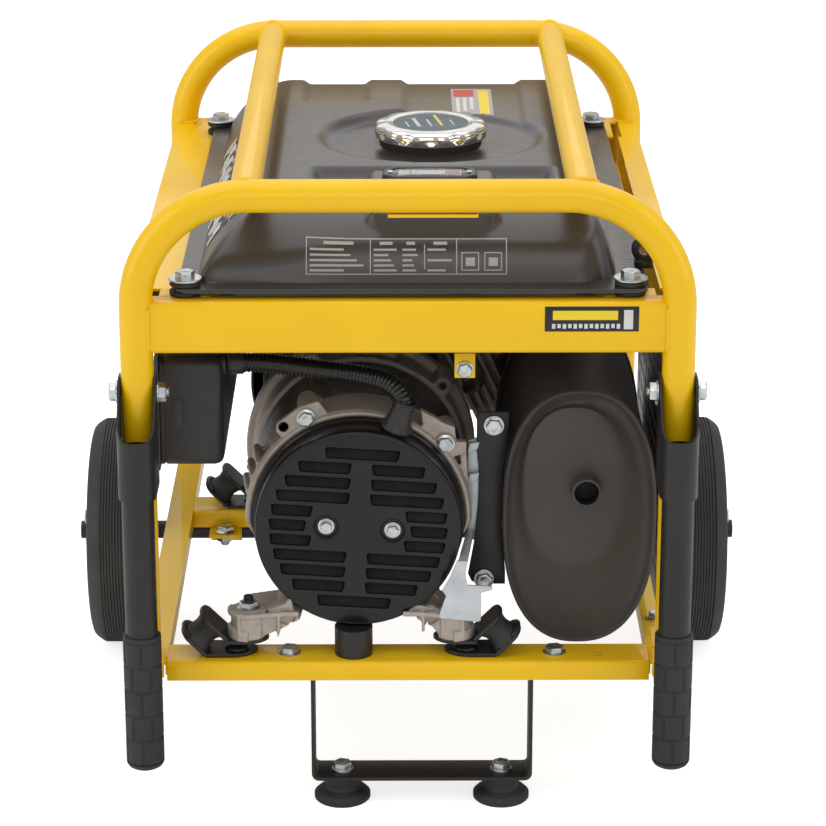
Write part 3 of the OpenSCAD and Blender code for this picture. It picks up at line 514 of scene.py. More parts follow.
# ------------------------------------------------------------------ frame

HOOP_TOP = box("near_hoop")[1].z - TUBE_R
LEG_X = box("near_hoop")[1].x - TUBE_R
LEG_IN = LEG_X - TUBE_R
FAR_Y = middle("far_hoop").y
RAIL_XS = (box("top_rails")[0].x + 12, box("top_rails")[1].x - 12)
TRAY_LOW = box("front_beam")[0].z
TRAY_TOP = box("front_beam")[1].z
TANK_BOLT_X = 170
PIVOT_Z = 347.0                         # of the carrying handles
TANK_BOLT_YS = (15, FAR_Y - 53)


def weld(name, rings, size=2.6):
    """Beads of weld along closed or open runs of points."""
    bm = bmesh.new()
    for points, closed in rings:
        def bead(length):
            return size * (1 + 0.14 * sin(length * 2.4))
        sweep(bm, points, bead, 10, closed=closed)
    finish(name, bm, "frame_paint", "frame_paint", sharp=60)


def tube_joint(centre, axis, r, other_axis, other_r):
    """Points where a tube along axis meets the side of a tube along other_axis."""
    d = Vector(axis).normalized()
    across = d.cross(Vector(other_axis)).normalized()
    along = Vector(other_axis).normalized()
    made = []
    for a in around(28):
        off = across * cos(a) * r + along * sin(a) * r
        depth = sqrt(max(other_r ** 2 - (cos(a) * r) ** 2, 0.0))
        made.append(Vector(centre) + off + d * depth)
    return made


def build_welds():
    rings = []
    for x in RAIL_XS:
        for y, way in ((0, 1), (FAR_Y, -1)):
            rings.append((tube_joint((x, y, HOOP_TOP), (0, way, 0), 11.8, RIGHT, TUBE_R - 0.6), True))
    weld("rail_welds", rings, 2.4)
    rings = []
    for s in (-1, 1):
        for y, way in ((0, -1), (FAR_Y, 1)):
            front = y + way * 8
            rings.append(([(s * (LEG_IN + 3.4), front, TRAY_LOW + 3 + k * 3) for k in range(12)], False))
            top = [(s * LEG_X + TUBE_R * cos(radians(a)), y + TUBE_R * sin(radians(a)) * -way,
                    TRAY_TOP + 0.2) for a in ((range(95, 200, 10)) if s > 0 else range(-15, 90, 10))]
            rings.append((top, False))
    weld("beam_welds", rings, 1.7)
    rings = []
    low, high = box("bottom_rails")
    for s in (-1, 1):
        for y in (0, FAR_Y):
            rings.append(([(s * (LEG_IN - 2.6), y - 9 + k * 3, high.z - 1.5) for k in range(7)], False))
            rings.append(([(s * (LEG_IN - 0.6), y - 10.5, low.z + 3 + k * 3) for k in range(9)], False))
    weld("rail_foot_welds", rings, 1.8)


def pressed_channel(name, node, y_front, depth, low_depth, low, top, half, thickness=2.0, tabs=()):
    """Channel across the frame with rounded bends, open towards the back (or front for a negative depth)."""
    bm = bmesh.new()
    t = thickness / 2
    way = 1 if depth > 0 else -1
    line = [(y_front + low_depth, low + t), (y_front + t * way, low + t), (y_front + t * way, top - t),
            (y_front + depth, top - t)]
    bent_sheet(bm, line, thickness, 3.6, -half, half, "side", steps=6)
    for x0, x1, reach in tabs:
        add_box(bm, (x0, min(y_front + depth, y_front + reach) - 1, top - thickness),
                (x1, max(y_front + depth, y_front + reach) + 1, top))
    finish(name, bm, "frame_paint", "frame_paint", replaces=(node,), bevel=0.35)


def build_frame():
    for node in ("near_hoop", "far_hoop", "top_rails"):
        paint_node(node, "frame_paint")
    build_welds()
    low, high = box("front_beam")
    tabs = [(*sorted((s * (TANK_BOLT_X - 26), s * (TANK_BOLT_X + 20))), 37) for s in (-1, 1)]
    pressed_channel("front_tray_beam", "front_beam", low.y, 19, 16, low.z, high.z, LEG_IN + 2, tabs=tabs)
    build_cross_members()
    # plate that closes the tray's far left corner
    bm = bmesh.new()
    add_box(bm, (-203, 512, TRAY_TOP - 1.9), (-187, 566, TRAY_TOP - 0.1))
    finish("tray_corner", bm, "frame_paint", bevel=0.3)
    # strip for the data plate under the near hoop's top tube, with its two spot welds
    bm = bmesh.new()
    add_box(bm, (-15, -5, HOOP_TOP - TUBE_R - 3), (53, 5, HOOP_TOP - TUBE_R - 0.6))
    for x in (4, 34):
        lathe(bm, (x, -5.0, HOOP_TOP - TUBE_R - 1.6), FORWARD,
              [(-0.6, 1.6), (0.2, 1.4), (0.4, 0.6), (0.4, 0)], 16)
    finish("data_plate_strip", bm, "frame_paint", "frame_paint", bevel=0.3)


def build_cross_members():
    low, high = box("cross_members")
    half = high.x
    near_y = low.y + 20
    far_y = high.y - 20
    for name, y, stands_for in (("near_cross_member", near_y, ("cross_members",)),
                                ("axle_cross_member", far_y, ())):
        bm = bmesh.new()
        line = [(y - 19, low.z), (y - 19, high.z - 1), (y + 19, high.z - 1), (y + 19, low.z)]
        bent_sheet(bm, line, 2.0, 4.0, -half, half, "side", steps=6)
        finish(name, bm, "frame_paint", "frame_paint", bevel=0.3, replaces=stands_for)
    # black shallow dishes in the channel's top: painted shade standing for its holes
    bm = bmesh.new()
    for x, y in ((-128, near_y - 2), (-58, near_y + 9), (150, near_y - 4)):
        lathe(bm, (x, y, high.z - 0.9), UP, [(0, 3.2), (0.95, 3.2), (1.0, 2.9), (0.2, 2.6), (0.2, 0)], 24)
    finish("cross_member_holes", bm, "print_black")


def paint_node(node, material):
    """Gives a CAD node one of the scene's materials in every slot."""
    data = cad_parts[node].data
    if not data.materials:
        data.materials.append(MATERIALS[material])
    for i in range(len(data.materials)):
        data.materials[i] = MATERIALS[material]


# ------------------------------------------------------------------ fuel tank

TANK_LEFT, TANK_RIGHT = -162, 162
TANK_FRONT, TANK_BACK = 20, 524
FLANGE_Z = 428.0
TANK_TOP = 478.0
CAP_X = 20.0
CAP_Y = middle("fuel_cap").y
DISH_Y = CAP_Y + 7
DISH_R = 97.0
POCKET_X = CAP_X
POCKET_BACK = 182.0


def below_top(distance, reach, power, root):
    """How far a wall's profile lies below the tank's top, at a distance in from its foot."""
    t = min(max(distance / reach, 0.0), 1.0)
    return (TANK_TOP - FLANGE_Z) * (1 - (1 - (1 - t) ** power) ** root)


def joined(a, b, sharpness):
    """Two walls meeting at a corner: a crease when sharpness is high, a round when it is low."""
    return (a ** sharpness + b ** sharpness) ** (1 / sharpness)


def tank_height(x, y):
    """Height of the pressed tank top, from the flange up."""
    slack = ease(x, -30, -130)
    front = below_top(y - TANK_FRONT, 88 + 22 * slack, 2.5, 0.42 + 0.2 * slack)
    back = below_top(TANK_BACK - y, 32, 2.2, 0.6)
    left = below_top(x - TANK_LEFT, 62, 1.8, 0.8)
    right = below_top(TANK_RIGHT - x, 34, 2.5, 0.62)
    depth = joined(joined(front, left, 7.0), joined(back, right, 2.4), 2.4)
    for cx, cy, sx, sy, r in ((TANK_RIGHT, TANK_FRONT, 1, -1, 36), (TANK_LEFT, TANK_FRONT, -1, -1, 12),
                              (TANK_RIGHT, TANK_BACK, 1, 1, 28), (TANK_LEFT, TANK_BACK, -1, 1, 28)):
        out = hypot(max(sx * (x - cx) + r, 0.0), max(sy * (y - cy) + r, 0.0))
        depth = joined(depth, below_top(r - out, r, 2.5, 0.62), 6.0)
    if depth >= TANK_TOP - FLANGE_Z:
        return FLANGE_Z
    z = TANK_TOP - depth
    s = depth / (TANK_TOP - FLANGE_Z)
    # pad that carries the gauge, chamfered down to the front
    half = 50 - 8 * ease(y, 49, 34)
    pad = ease(abs(x - CAP_X), half + 3, half - 3) * ease(y, 176, 168) * ease(y, 31, 34)
    face = min(TANK_TOP - 0.2, TANK_TOP - 0.2 - (46 - y) * 1.4)
    if face > z:
        z += (face - z) * pad
    # pocket to each side of the pad, with its steep wall at the back
    pocket = ease(y, POCKET_BACK + 2, POCKET_BACK - 9) * ease(abs(x - POCKET_X), 100, 88) * ease(y, 60, 110)
    z -= 8 * pocket * (1 - pad)
    # dish round the filler
    dish = ease(hypot(x - CAP_X, y - DISH_Y), DISH_R, DISH_R - 12)
    z -= 8.0 * dish * ease(y, POCKET_BACK - 4, POCKET_BACK + 12)
    # lengthwise channels towards the back
    outside = 1 - dish
    channel = ease(x, -93, -86) * ease(x, -31, -38) * ease(y, 412, 424)
    channel = max(channel, ease(x, -5, 2) * ease(x, 104, 97) * ease(y, 250, 300))
    z -= 4.0 * channel * outside * ease(s, 0.5, 0.1)
    # a raised seat round the filler neck
    z += 3.0 * ease(hypot(x - CAP_X, y - CAP_Y), 46, 40)
    return z


def tank_point(x, y, lift=0.0):
    """Point of the tank's top, moved out along the surface by lift."""
    z = tank_height(x, y)
    if lift:
        e = 0.5
        slope = Vector((tank_height(x - e, y) - tank_height(x + e, y),
                        tank_height(x, y - e) - tank_height(x, y + e), 2 * e)).normalized()
        return Vector((x, y, z)) + slope * lift
    return Vector((x, y, z))


def wall_steps(edge, reach, inward, count=22):
    """Grid lines that lie close together where the wall is steep."""
    return [edge + inward * reach * (k / count) ** 2.0 for k in range(count + 1)]


def merge_lines(*groups, gap=0.35):
    made = []
    for value in sorted(v for group in groups for v in group):
        if not made or value - made[-1] > gap:
            made.append(value)
    return made


def build_tank():
    low, high = box("tank_top")
    xs = merge_lines(spaced(low.x + 0.6, high.x - 0.6, 3.0), wall_steps(TANK_LEFT - 4, 60, 1),
                     wall_steps(TANK_RIGHT + 3, 34, -1))
    ys = merge_lines(spaced(low.y + 0.6, high.y - 0.6, 3.2), wall_steps(TANK_FRONT - 5, 88, 1, 34),
                     wall_steps(TANK_BACK + 2, 34, -1), spaced(POCKET_BACK - 9, POCKET_BACK + 3, 1.2))

    def place(x, y):
        z = tank_height(x, y)
        if x > TANK_RIGHT + 7 and 30 < y < 510:      # the right strip of the flange is ribbed
            z += 0.5 * (0.5 + 0.5 * cos(2 * pi * y / 7.0))
        return Vector((x, y, z))

    ys = merge_lines(ys, spaced(30, 510, 1.75))      # fine enough for the flange's ribs
    bm = bmesh.new()
    grid_surface(bm, xs, ys, place)
    rim = [e for e in bm.edges if e.is_boundary]
    made = bmesh.ops.extrude_edge_only(bm, edges=rim)["geom"]
    for v in (g for g in made if isinstance(g, bmesh.types.BMVert)):
        v.co.z = low.z + 0.1
        v.co.x += 0.5 if v.co.x > 0 else -0.5
    finish("tank_shell", bm, "tank_paint", "tank_paint", replaces=("tank_top",), sharp=50)
    paint_node("fuel_tap", "zinc")
    paint_node("tap_lever", "red_plastic")
    build_tank_mounts()
    build_cap()
    build_gauge()
    build_tank_prints()


def build_tank_mounts():
    """Stepped rubber grommets under wide zinc washers."""
    bm = bmesh.new()
    for s in (-1, 1):
        for y in TANK_BOLT_YS:
            lathe(bm, (s * TANK_BOLT_X, y, TRAY_TOP), UP,
                  [(0, 4), (0, 11.5), (1.2, 12.2), (3.4, 12.2), (4.4, 11), (4.5, 6)], 36)
            lathe(bm, (s * TANK_BOLT_X, y, FLANGE_Z), UP,
                  [(0, 5), (0, 11.2), (0.8, 12), (3.4, 12), (4.4, 11), (4.5, 4)], 36)
    finish("tank_grommets", bm, "rubber", "soft_rubber", replaces=("tank_mounts",))


def build_cap():
    """Scalloped filler cap: chromed skirt, dished top with a printed disc, gasket below."""
    r = 47.6
    lobes = 12

    def scallop(angle, along, radius):
        wave = 0.5 + 0.5 * cos(lobes * angle)
        depth = 2.0 * ease(along, 7.4, 11.0) * ease(radius, r - 14, r - 4)
        return radius - depth * wave ** 1.5

    base = Vector((CAP_X, CAP_Y, box("fuel_cap")[1].z - 19.5))
    profile = [(6.2, r - 9), (6.2, r - 3.2), (6.5, r - 2.2), (7.4, r - 0.8), (8.8, r - 0.1), (11, r),
               (13, r - 0.1), (15.6, r - 0.5),
               (17.2, r - 1.6), (18.2, r - 3.2), (18.8, r - 5.5), (19.1, r - 8), (19.3, r - 11),
               (19.2, r - 13.5),
               (18.6, r - 15.0), (18.3, r - 16.2)]
    bm = bmesh.new()
    lathe(bm, base, UP, profile, 288, radius_at=scallop)
    finish("filler_cap_shell", bm, "chrome", "cap_chrome", body="filler_cap", replaces=("fuel_cap",),
           sharp=60)
    bm = bmesh.new()
    lathe(bm, base, UP, [(18.35, r - 15.8), (18.55, r - 17), (18.6, 12), (18.6, 0.01)], 96)
    finish("filler_cap_disc", bm, "print_blue", body="filler_cap")
    bm = bmesh.new()
    lathe(bm, base, UP,
          [(-5.2, 30), (-5.2, r - 8), (-4.4, r - 5.8), (-1.0, r - 5.0), (2.0, r - 4.6), (5.4, r - 4.2),
           (6.4, r - 4.4), (6.4, 34)], 96)
    lathe(bm, base, UP, [(-10, 25.5), (2, 25.5), (2, 0.01)], 48)
    finish("filler_cap_gasket", bm, "rubber", body="filler_cap")
    # generic marks on the disc: short bars in a few slanted rows
    bm = bmesh.new()
    turn = Matrix.Translation(base) @ Matrix.Rotation(radians(100), 4, "Z")
    for row, (bars, width) in enumerate(((3, 1.4), (5, 3.2), (4, 1.6), (6, 2.6), (3, 1.2))):
        y = 20 - row * 9.5
        x = -14
        for k in range(bars):
            length = 3.4 + 1.6 * ((k * 7 + row * 3) % 3)
            add_box(bm, (x, y, 18.62), (x + length, y + width, 18.7), int(row == 3), turn=turn)
            x += length + 1.3
    finish("filler_cap_print", bm, ("print_white", "print_yellow"), body="filler_cap")
    # filler neck below the cap
    bm = bmesh.new()
    lathe(bm, (CAP_X, CAP_Y, 466), UP,
          [(0, 34), (3.5, 33), (5.5, 30), (6.0, 29.6), (6.0, 27), (-8, 27)], 64)
    finish("filler_neck", bm, "tank_paint")


def build_gauge():
    """Fuel gauge: black frame with tapered ends, clear window, scale and needle."""
    low, high = box("fuel_gauge")
    cx, cy = (low.x + high.x) / 2, (low.y + high.y) / 2
    w, h = high.x - low.x, high.y - low.y
    z = low.z - 0.3

    def outline(grow):
        half_w, half_h = w / 2 - grow, h / 2 - grow
        corner = 9 - grow * 0.5
        corners = [(corner - half_w, -half_h), (half_w - corner, -half_h), (half_w, corner - half_h)]
        corners += [(x, -y) for x, y in reversed(corners)]
        corners += [(-half_w, half_h - corner), (-half_w, corner - half_h)]
        return [(cx + x, cy + y) for x, y in corners]

    bm = bmesh.new()
    loops = [[Vector((x, y, z + lift)) for x, y in outline(grow)]
             for grow, lift in ((0, 0), (0.2, 3.0), (1.4, 4.6), (3.4, 5.0), (5.0, 4.8), (6.0, 3.2),
                                (6.2, 1.8))]
    loop_faces(bm, loops, True, False, True)
    finish("gauge_frame", bm, "gloss_plastic", "gauge", replaces=("fuel_gauge",), bevel=0.35)
    bm = bmesh.new()
    add_box(bm, (cx - 25, cy - 6, z + 1.9), (cx + 25, cy + 6, z + 2.3))
    add_box(bm, (cx + 12, cy - 5, z + 2.3), (cx + 24, cy + 5, z + 2.5), 1)
    for k in range(9):
        add_box(bm, (cx - 20 + k * 5, cy + 1, z + 2.3), (cx - 19.4 + k * 5, cy + 5, z + 2.45), 2)
    add_box(bm, (cx - 16, cy - 5, z + 2.5), (cx - 14.8, cy + 4.6, z + 3.1), 1)
    finish("gauge_scale", bm, ("gauge_white", "print_red", "print_black"))
    bm = bmesh.new()
    loops = [[Vector((x, y, z + lift)) for x, y in outline(grow)]
             for grow, lift in ((5.6, 3.2), (6.4, 4.2), (8.6, 4.9), (11, 5.2))]
    loop_faces(bm, loops, True, False, True)
    finish("gauge_window", bm, "clear_plastic", smooth=1)
    bm = bmesh.new()
    for s in (-1, 1):
        lathe(bm, (cx + s * (w / 2 - 6.5), cy, z + 4.7), UP,
              [(0, 2.6), (0.5, 2.5), (0.9, 1.9), (0.9, 0.6), (0.4, 0.5), (0.4, 0.01)], 20)
    finish("gauge_screws", bm, "zinc")


def on_front(x, z, lift):
    """Point on the tank's front face at a height, found by halving."""
    low, high = TANK_FRONT - 2.0, 130.0
    for _ in range(26):
        mid = (low + high) / 2
        if tank_height(x, mid) < z:
            low = mid
        else:
            high = mid
    return tank_point(x, (low + high) / 2, lift)


def front_bar(bm, x0, x1, z0, z1, material=0, lift=0.18):
    xs = spaced(x0, x1, 8)
    rows = [z0, z1] if z1 - z0 < 4 else spaced(z0, z1, 3)
    verts = [[bm.verts.new(on_front(x, z, lift)) for x in xs] for z in rows]
    for a, b in zip(verts, verts[1:]):
        for i in range(len(xs) - 1):
            bm.faces.new((a[i], a[i + 1], b[i + 1], b[i])).material_index = material


def build_tank_prints():
    """Generic data label on the front: a ruled box with columns of plain bars."""
    left, right, bottom, top = -78.0, 76.0, 434.0, 459.5
    bm = bmesh.new()
    rule = 0.8
    front_bar(bm, left, right, top - rule, top)
    front_bar(bm, left, right, bottom, bottom + rule)
    for x in (left, -29, 12.5, 37, right - rule):
        z0 = bottom if x != 12.5 else bottom + 4
        front_bar(bm, x, x + rule, z0, top if x != 12.5 else top - 4)
    for column, (x, width) in enumerate(((left + 3, 42), (-26, 18), (-4, 12), (15, 19))):
        for row in range(5):
            z = top - 8.2 - row * 3.7
            length = width * (0.62 + 0.12 * ((row * 5 + column * 3) % 4))
            if column < 2 or row % 2 == 0 or column == 2:
                front_bar(bm, x, x + length, z, z + 1.5)
        front_bar(bm, x + width * 0.25, x + width * 0.8, top - 4.2, top - 2.2)
    # two plain pictogram frames
    for x in (41, 58.5):
        for z in (bottom + 3, bottom + 15.6):
            front_bar(bm, x, x + 13.6, z, z + 0.8)
        for dx in (0, 12.8):
            front_bar(bm, x + dx, x + dx + 0.8, bottom + 3, bottom + 16.4)
        front_bar(bm, x + 3.4, x + 10.4, bottom + 6.5, bottom + 12.6)
    finish("tank_front_print", bm, "print_grey")
    # plain sticker on the top, towards the back right
    bm = bmesh.new()
    for x0, x1, y0, y1, material in ((40, 76, 374, 474, 0), (42, 60, 444, 470, 1), (64, 73, 378, 467, 2),
                                     (44, 47, 382, 438, 3), (50, 53, 388, 440, 3), (56, 59, 396, 442, 3)):
        xs, ys = spaced(x0, x1, 6), spaced(y0, y1, 6)
        lift = 0.15 if material == 0 else 0.3
        grid_surface(bm, xs, ys, lambda x, y: tank_point(x, y, lift), material)
    finish("tank_top_sticker", bm, ("print_grey", "print_red", "print_yellow", "print_white"))
    # torn-brush flash on the left flank
    bm = bmesh.new()
    for k in range(26):
        y0 = 84 + k * 11.5
        x0 = -157 + 3 * sin(k * 1.7) + 2 * sin(k * 0.6)
        x1 = -136 + 5 * sin(k * 2.3 + 1)
        for part, (a, b, m) in enumerate(((0.0, 0.42, 0), (0.46, 0.62, 1), (0.68, 0.94, 0))):
            wide = 8.5 - 4 * ((k * 3 + part) % 3) / 2
            xs = spaced(x0 + (x1 - x0) * a, x0 + (x1 - x0) * b, 3)
            ys = spaced(y0, y0 + wide, 3)
            grid_surface(bm, xs, ys, lambda x, y: tank_point(x, y + (x - x0) * 0.35, 0.7), m)
    finish("tank_side_flash", bm, ("print_white", "print_black"))

# ------------------------------------------------------------------ alternator

SHAFT_X, SHAFT_Z = middle("crankshaft").x, middle("crankshaft").z
COVER_Y = box("end_cover")[0].y
COVER_R = (box("end_cover")[1].x - box("end_cover")[0].x) / 2 - 3
COVER_TURN = radians(3.5)          # the slots lean a little, lower to the right
BRACKET_Y = box("end_bracket")[1].y - 46
NEAR_MOUNT_Y, FAR_MOUNT_Y = 12.0, 343.5
BOLT_ANGLES = (42, 116)               # the two lower bolts are sunk in the cast feet
FEET = {-1: SHAFT_X - 87, 1: SHAFT_X + 75}
BOLT_RING_R = 92
SCREW_US = (-25, 27)                    # the cover screws, along the slots
OUTLET_X, OUTLET_Z = 140.0, 257.0


def on_cover(u, v, depth):
    """Point on the end cover: u along its slots, v across them, depth back from its face."""
    c, s = cos(COVER_TURN), sin(COVER_TURN)
    return Vector((SHAFT_X + u * c + v * s, COVER_Y + depth, SHAFT_Z - u * s + v * c))


def louvres():
    """Ends and height of each slot, in rows that follow the round of the cover."""
    for row in range(-5, 6):
        v = row * 12.35
        if abs(row) == 5:
            yield -28.5, 28.5, v
        else:
            outer = sqrt(69.5 ** 2 - v * v)
            inner = {0: 41.5, 1: 37.0}.get(abs(row), 8.5)
            yield -outer, -inner, v
            yield inner, outer, v


def slot_outline(left, right, v, grow=0.0):
    """Slot wider at its top than at its bottom."""
    right_side = [(right - 2.6, v - 4.0 - grow), (right - 1.3 + grow * 0.7, v - 3.6 - grow * 0.7),
                  (right - 0.5 + grow, v - 2.4), (right + 0.5 + grow, v + 3.2), (right + 0.4 + grow, v + 4.3),
                  (right - 0.5 + grow * 0.7, v + 4.9 + grow * 0.7), (right - 1.8, v + 5.1 + grow)]
    return right_side + [(left + right - u, w) for u, w in reversed(right_side)]


def make_end_cover():
    turn = Matrix.Translation((SHAFT_X, 0, SHAFT_Z)) @ Matrix.Rotation(COVER_TURN, 4, "Y")
    screws = [circle(10, (u, 0.4), 32) for u in SCREW_US]
    plate("end_cover_face", [circle(COVER_R - 1.8, steps=144)] + [slot_outline(*slot) for slot in louvres()]
          + screws,
          "front", COVER_Y + 1.0, 2.0, "cover_paint", edge=0.6, move=turn)
    bm = bmesh.new()
    for left, right, v in louvres():
        rim = slot_outline(left, right, v, 0.3)
        loops = [[on_cover(u, w, 1.2) for u, w in rim]]
        floor = []
        for u, w in rim:
            t = min(max((w - v + 4.3) / 9.7, 0.0), 1.0)
            inward = (0.9 + 1.3 * t) * (1 if u < (left + right) / 2 else -1)
            floor.append(on_cover(u + inward, w - 1.6 * t, 3.4 + 3.8 * t))
        loops.append(floor)
        loop_faces(bm, loops, True)
        # the floor of each slot is a near-black face: painted shade standing for the open louvre
        bm.faces.new(list(bm.verts)[-len(rim):]).material_index = 1
    for u in SCREW_US:
        lathe(bm, on_cover(u, 0.4, 0), FORWARD,
              [(-0.3, 10.6), (-0.6, 10.0), (-1.2, 9.3), (-2.4, 8.6), (-2.6, 7.6), (-2.6, 0.01)], 48)
    finish("end_cover_slots", bm, ("cover_paint", "bore_black"), sharp=28)
    bm = bmesh.new()
    r = COVER_R
    lathe(bm, (SHAFT_X, COVER_Y, SHAFT_Z), BACKWARD,
          [(1.8, r - 3.6), (0.7, r - 2.6), (0.1, r - 2.0), (0.0, r - 1.4), (0.3, r - 0.8), (1.2, r - 0.3),
           (2.6, r),
           (12, r), (20, r), (23.4, r + 0.3), (24.6, r + 1.0), (25.2, r + 2.4), (26.2, r + 3.0),
           (27.6, r + 3.0), (28.0, r + 2.4), (28.0, r - 2)], 160)
    finish("end_cover_rim", bm, "cover_paint", "black_paint", replaces=("end_cover",), sharp=60)


# ------------------------------------------------------------------ castings

def add_wall(bm, line, thickness, low, high):
    """Upright wall that follows a line of (x, y) points."""
    bent_sheet(bm, line, thickness, 0.5, low, high, "flat", steps=2)


def add_prism(bm, outline, y0, y1):
    loops = [[Vector((x, y, z)) for x, z in outline] for y in (y0, y1)]
    loop_faces(bm, loops, True, True, True)


def add_rod(bm, start, end, r, sides=32, r_end=None):
    start, end = Vector(start), Vector(end)
    lathe(bm, start, end - start, [(0, r), ((end - start).length, r if r_end is None else r_end)], sides,
          caps=(True, True))


def tuck_ring(bm):
    """Draws the lower half of the alternator's ring in behind the end cover and slims the feet's arms."""
    for v in bm.verts:
        radius = hypot(v.co.x - SHAFT_X, v.co.z - SHAFT_Z)
        across = v.co.x - SHAFT_X
        if v.co.z < 152 and abs(across) < 48 and v.co.y < 60:        # inner end of an arm
            v.co.z = 156.0
            v.co.x = SHAFT_X + copysign(46, across)
        elif v.co.z < 146 and abs(across) < 62 and v.co.y < 60:      # underside of an arm
            v.co.z += 5.5
        elif 83 < radius < 94 and v.co.y > BRACKET_Y - 5:            # the ring itself
            pull = 1 + (79.5 / radius - 1) * ease(v.co.z - SHAFT_Z, 0, -30)
            v.co.x = SHAFT_X + (v.co.x - SHAFT_X) * pull
            v.co.z = SHAFT_Z + (v.co.z - SHAFT_Z) * pull


def casting(name, node, material, slot, voxel, extra=None, rounds=2, ring=False):
    """Sand-cast look: a CAD node with its ribs and pads added, fused and softened at every edge."""
    bm = bmesh.new()
    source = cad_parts[node]
    mesh = source.data.copy()
    mesh.transform(source.matrix_world)
    mesh.transform(TO_ROW.inverted())
    bm.from_mesh(mesh)
    bpy.data.meshes.remove(mesh)
    for face in bm.faces:
        face.material_index = 0
    if extra:
        extra(bm)
    if ring:
        tuck_ring(bm)
    bmesh.ops.recalc_face_normals(bm, faces=bm.faces)
    mesh = bpy.data.meshes.new(name + "_rough")
    bm.to_mesh(mesh)
    bm.free()
    rough = bpy.data.objects.new(name + "_rough", mesh)
    bpy.context.scene.collection.objects.link(rough)
    fuse = rough.modifiers.new("fuse", "REMESH")
    fuse.mode = "VOXEL"
    fuse.voxel_size = voxel * 1
    soften = rough.modifiers.new("soften", "SMOOTH")
    soften.factor = 0.5
    soften.iterations = rounds
    fused = bpy.data.meshes.new_from_object(rough.evaluated_get(bpy.context.evaluated_depsgraph_get()))
    bpy.data.objects.remove(rough)
    bpy.data.meshes.remove(mesh)
    bm = bmesh.new()
    bm.from_mesh(fused)
    bpy.data.meshes.remove(fused)
    return finish(name, bm, material, slot, replaces=(node,), sharp=70)


def foot_ribs(bm, y_front, side, pad_y):
    """Rims, ribs and pad of one engine foot, on its front."""
    boss = FEET[side]
    line = [(boss + side * out, pad_y - forward) for out, forward in (polar(15.2, a)
                                                                      for a in range(-30, 91, 10))]
    line.append((boss - side * 27, y_front - 1.4))
    line.append((boss - side * 40, y_front - 1.0))
    add_wall(bm, line, 3.0, 159.0, 163.0)
    add_wall(bm, line[:-2], 3.4, 139.8, 148.6)
    out, forward = polar(15.6, 62)
    add_rod(bm, (boss + side * out, pad_y - forward, 140.5), (boss + side * out, pad_y - forward, 162), 1.6,
            12)
    for x in (boss - side * 9, boss - side * 24):
        add_box(bm, (x - 1.2, y_front - 3.6, 141), (x + 1.2, y_front + 2, 162.4))
    add_prism(bm, [(boss - side * 14, 162.4), (boss - side * 30, 168.5), (boss - side * 34, 176),
                   (boss - side * 36, 160)],
              y_front + 2, y_front + 9)


def make_end_bracket():
    def extra(bm):
        for side in (-1, 1):
            foot_ribs(bm, NEAR_MOUNT_Y - 8, side, NEAR_MOUNT_Y)
        for a in (232, 308):
            x, z = SHAFT_X + polar(92, a)[0], SHAFT_Z + polar(91, a)[1]
            add_rod(bm, (x, 8, z), (x, 40, z), 6.6)
        # flat pad with a spare hole beside the upper left bolt
        add_prism(bm, [(-103, 308), (-84, 322.5), (-70, 327), (-62, 316), (-72, 309), (-94, 293.5),
                       (-103, 301)], 35, 41)
        add_prism(bm, [(-100, 296), (-84, 309), (-70, 318), (-60, 306), (-84, 290)], 41, 78)
        # ear at the upper right with an arm out towards the exhaust
        add_prism(bm, [(10, 319), (21, 313), (27, 309), (37, 305), (38, 293), (46, 292.5), (46, 283),
                       (34, 280),
                       (28, 282), (12, 302)], 36, 44)
        add_prism(bm, [(40, 285), (46, 285), (48, 256), (45, 252)], 40, 52)
        # bright turned lip in front of the ring
        lathe(bm, (SHAFT_X, BRACKET_Y - 2.4, SHAFT_Z), BACKWARD,
              [(0, 85.0), (0, 87.6), (4, 89.6), (10, 89.6), (10, 84), (0, 85.0)], 128)
        # curved side wall at the left, with its cooling holes
        for a in (152, 160, 168):
            c, s = cos(radians(a)), sin(radians(a))
            add_rod(bm, (SHAFT_X + 88 * c, 42, SHAFT_Z + 88 * s), (SHAFT_X + 92 * c, 78, SHAFT_Z + 92 * s),
                    3.2, 16)

    casting("end_bracket_casting", "end_bracket", "cast_alloy", "cast_alloy", 0.85, extra, 1, True)
    # black disc on the pad: painted shade standing for its spare hole
    bm = bmesh.new()
    lathe(bm, (-97.4, 34.9, 306.0), FORWARD, [(0.05, 4.2), (0.15, 4.2), (0.2, 3.9), (-0.1, 3.6),
                                              (-0.1, 0.01)], 28)
    finish("end_bracket_hole", bm, "print_black")


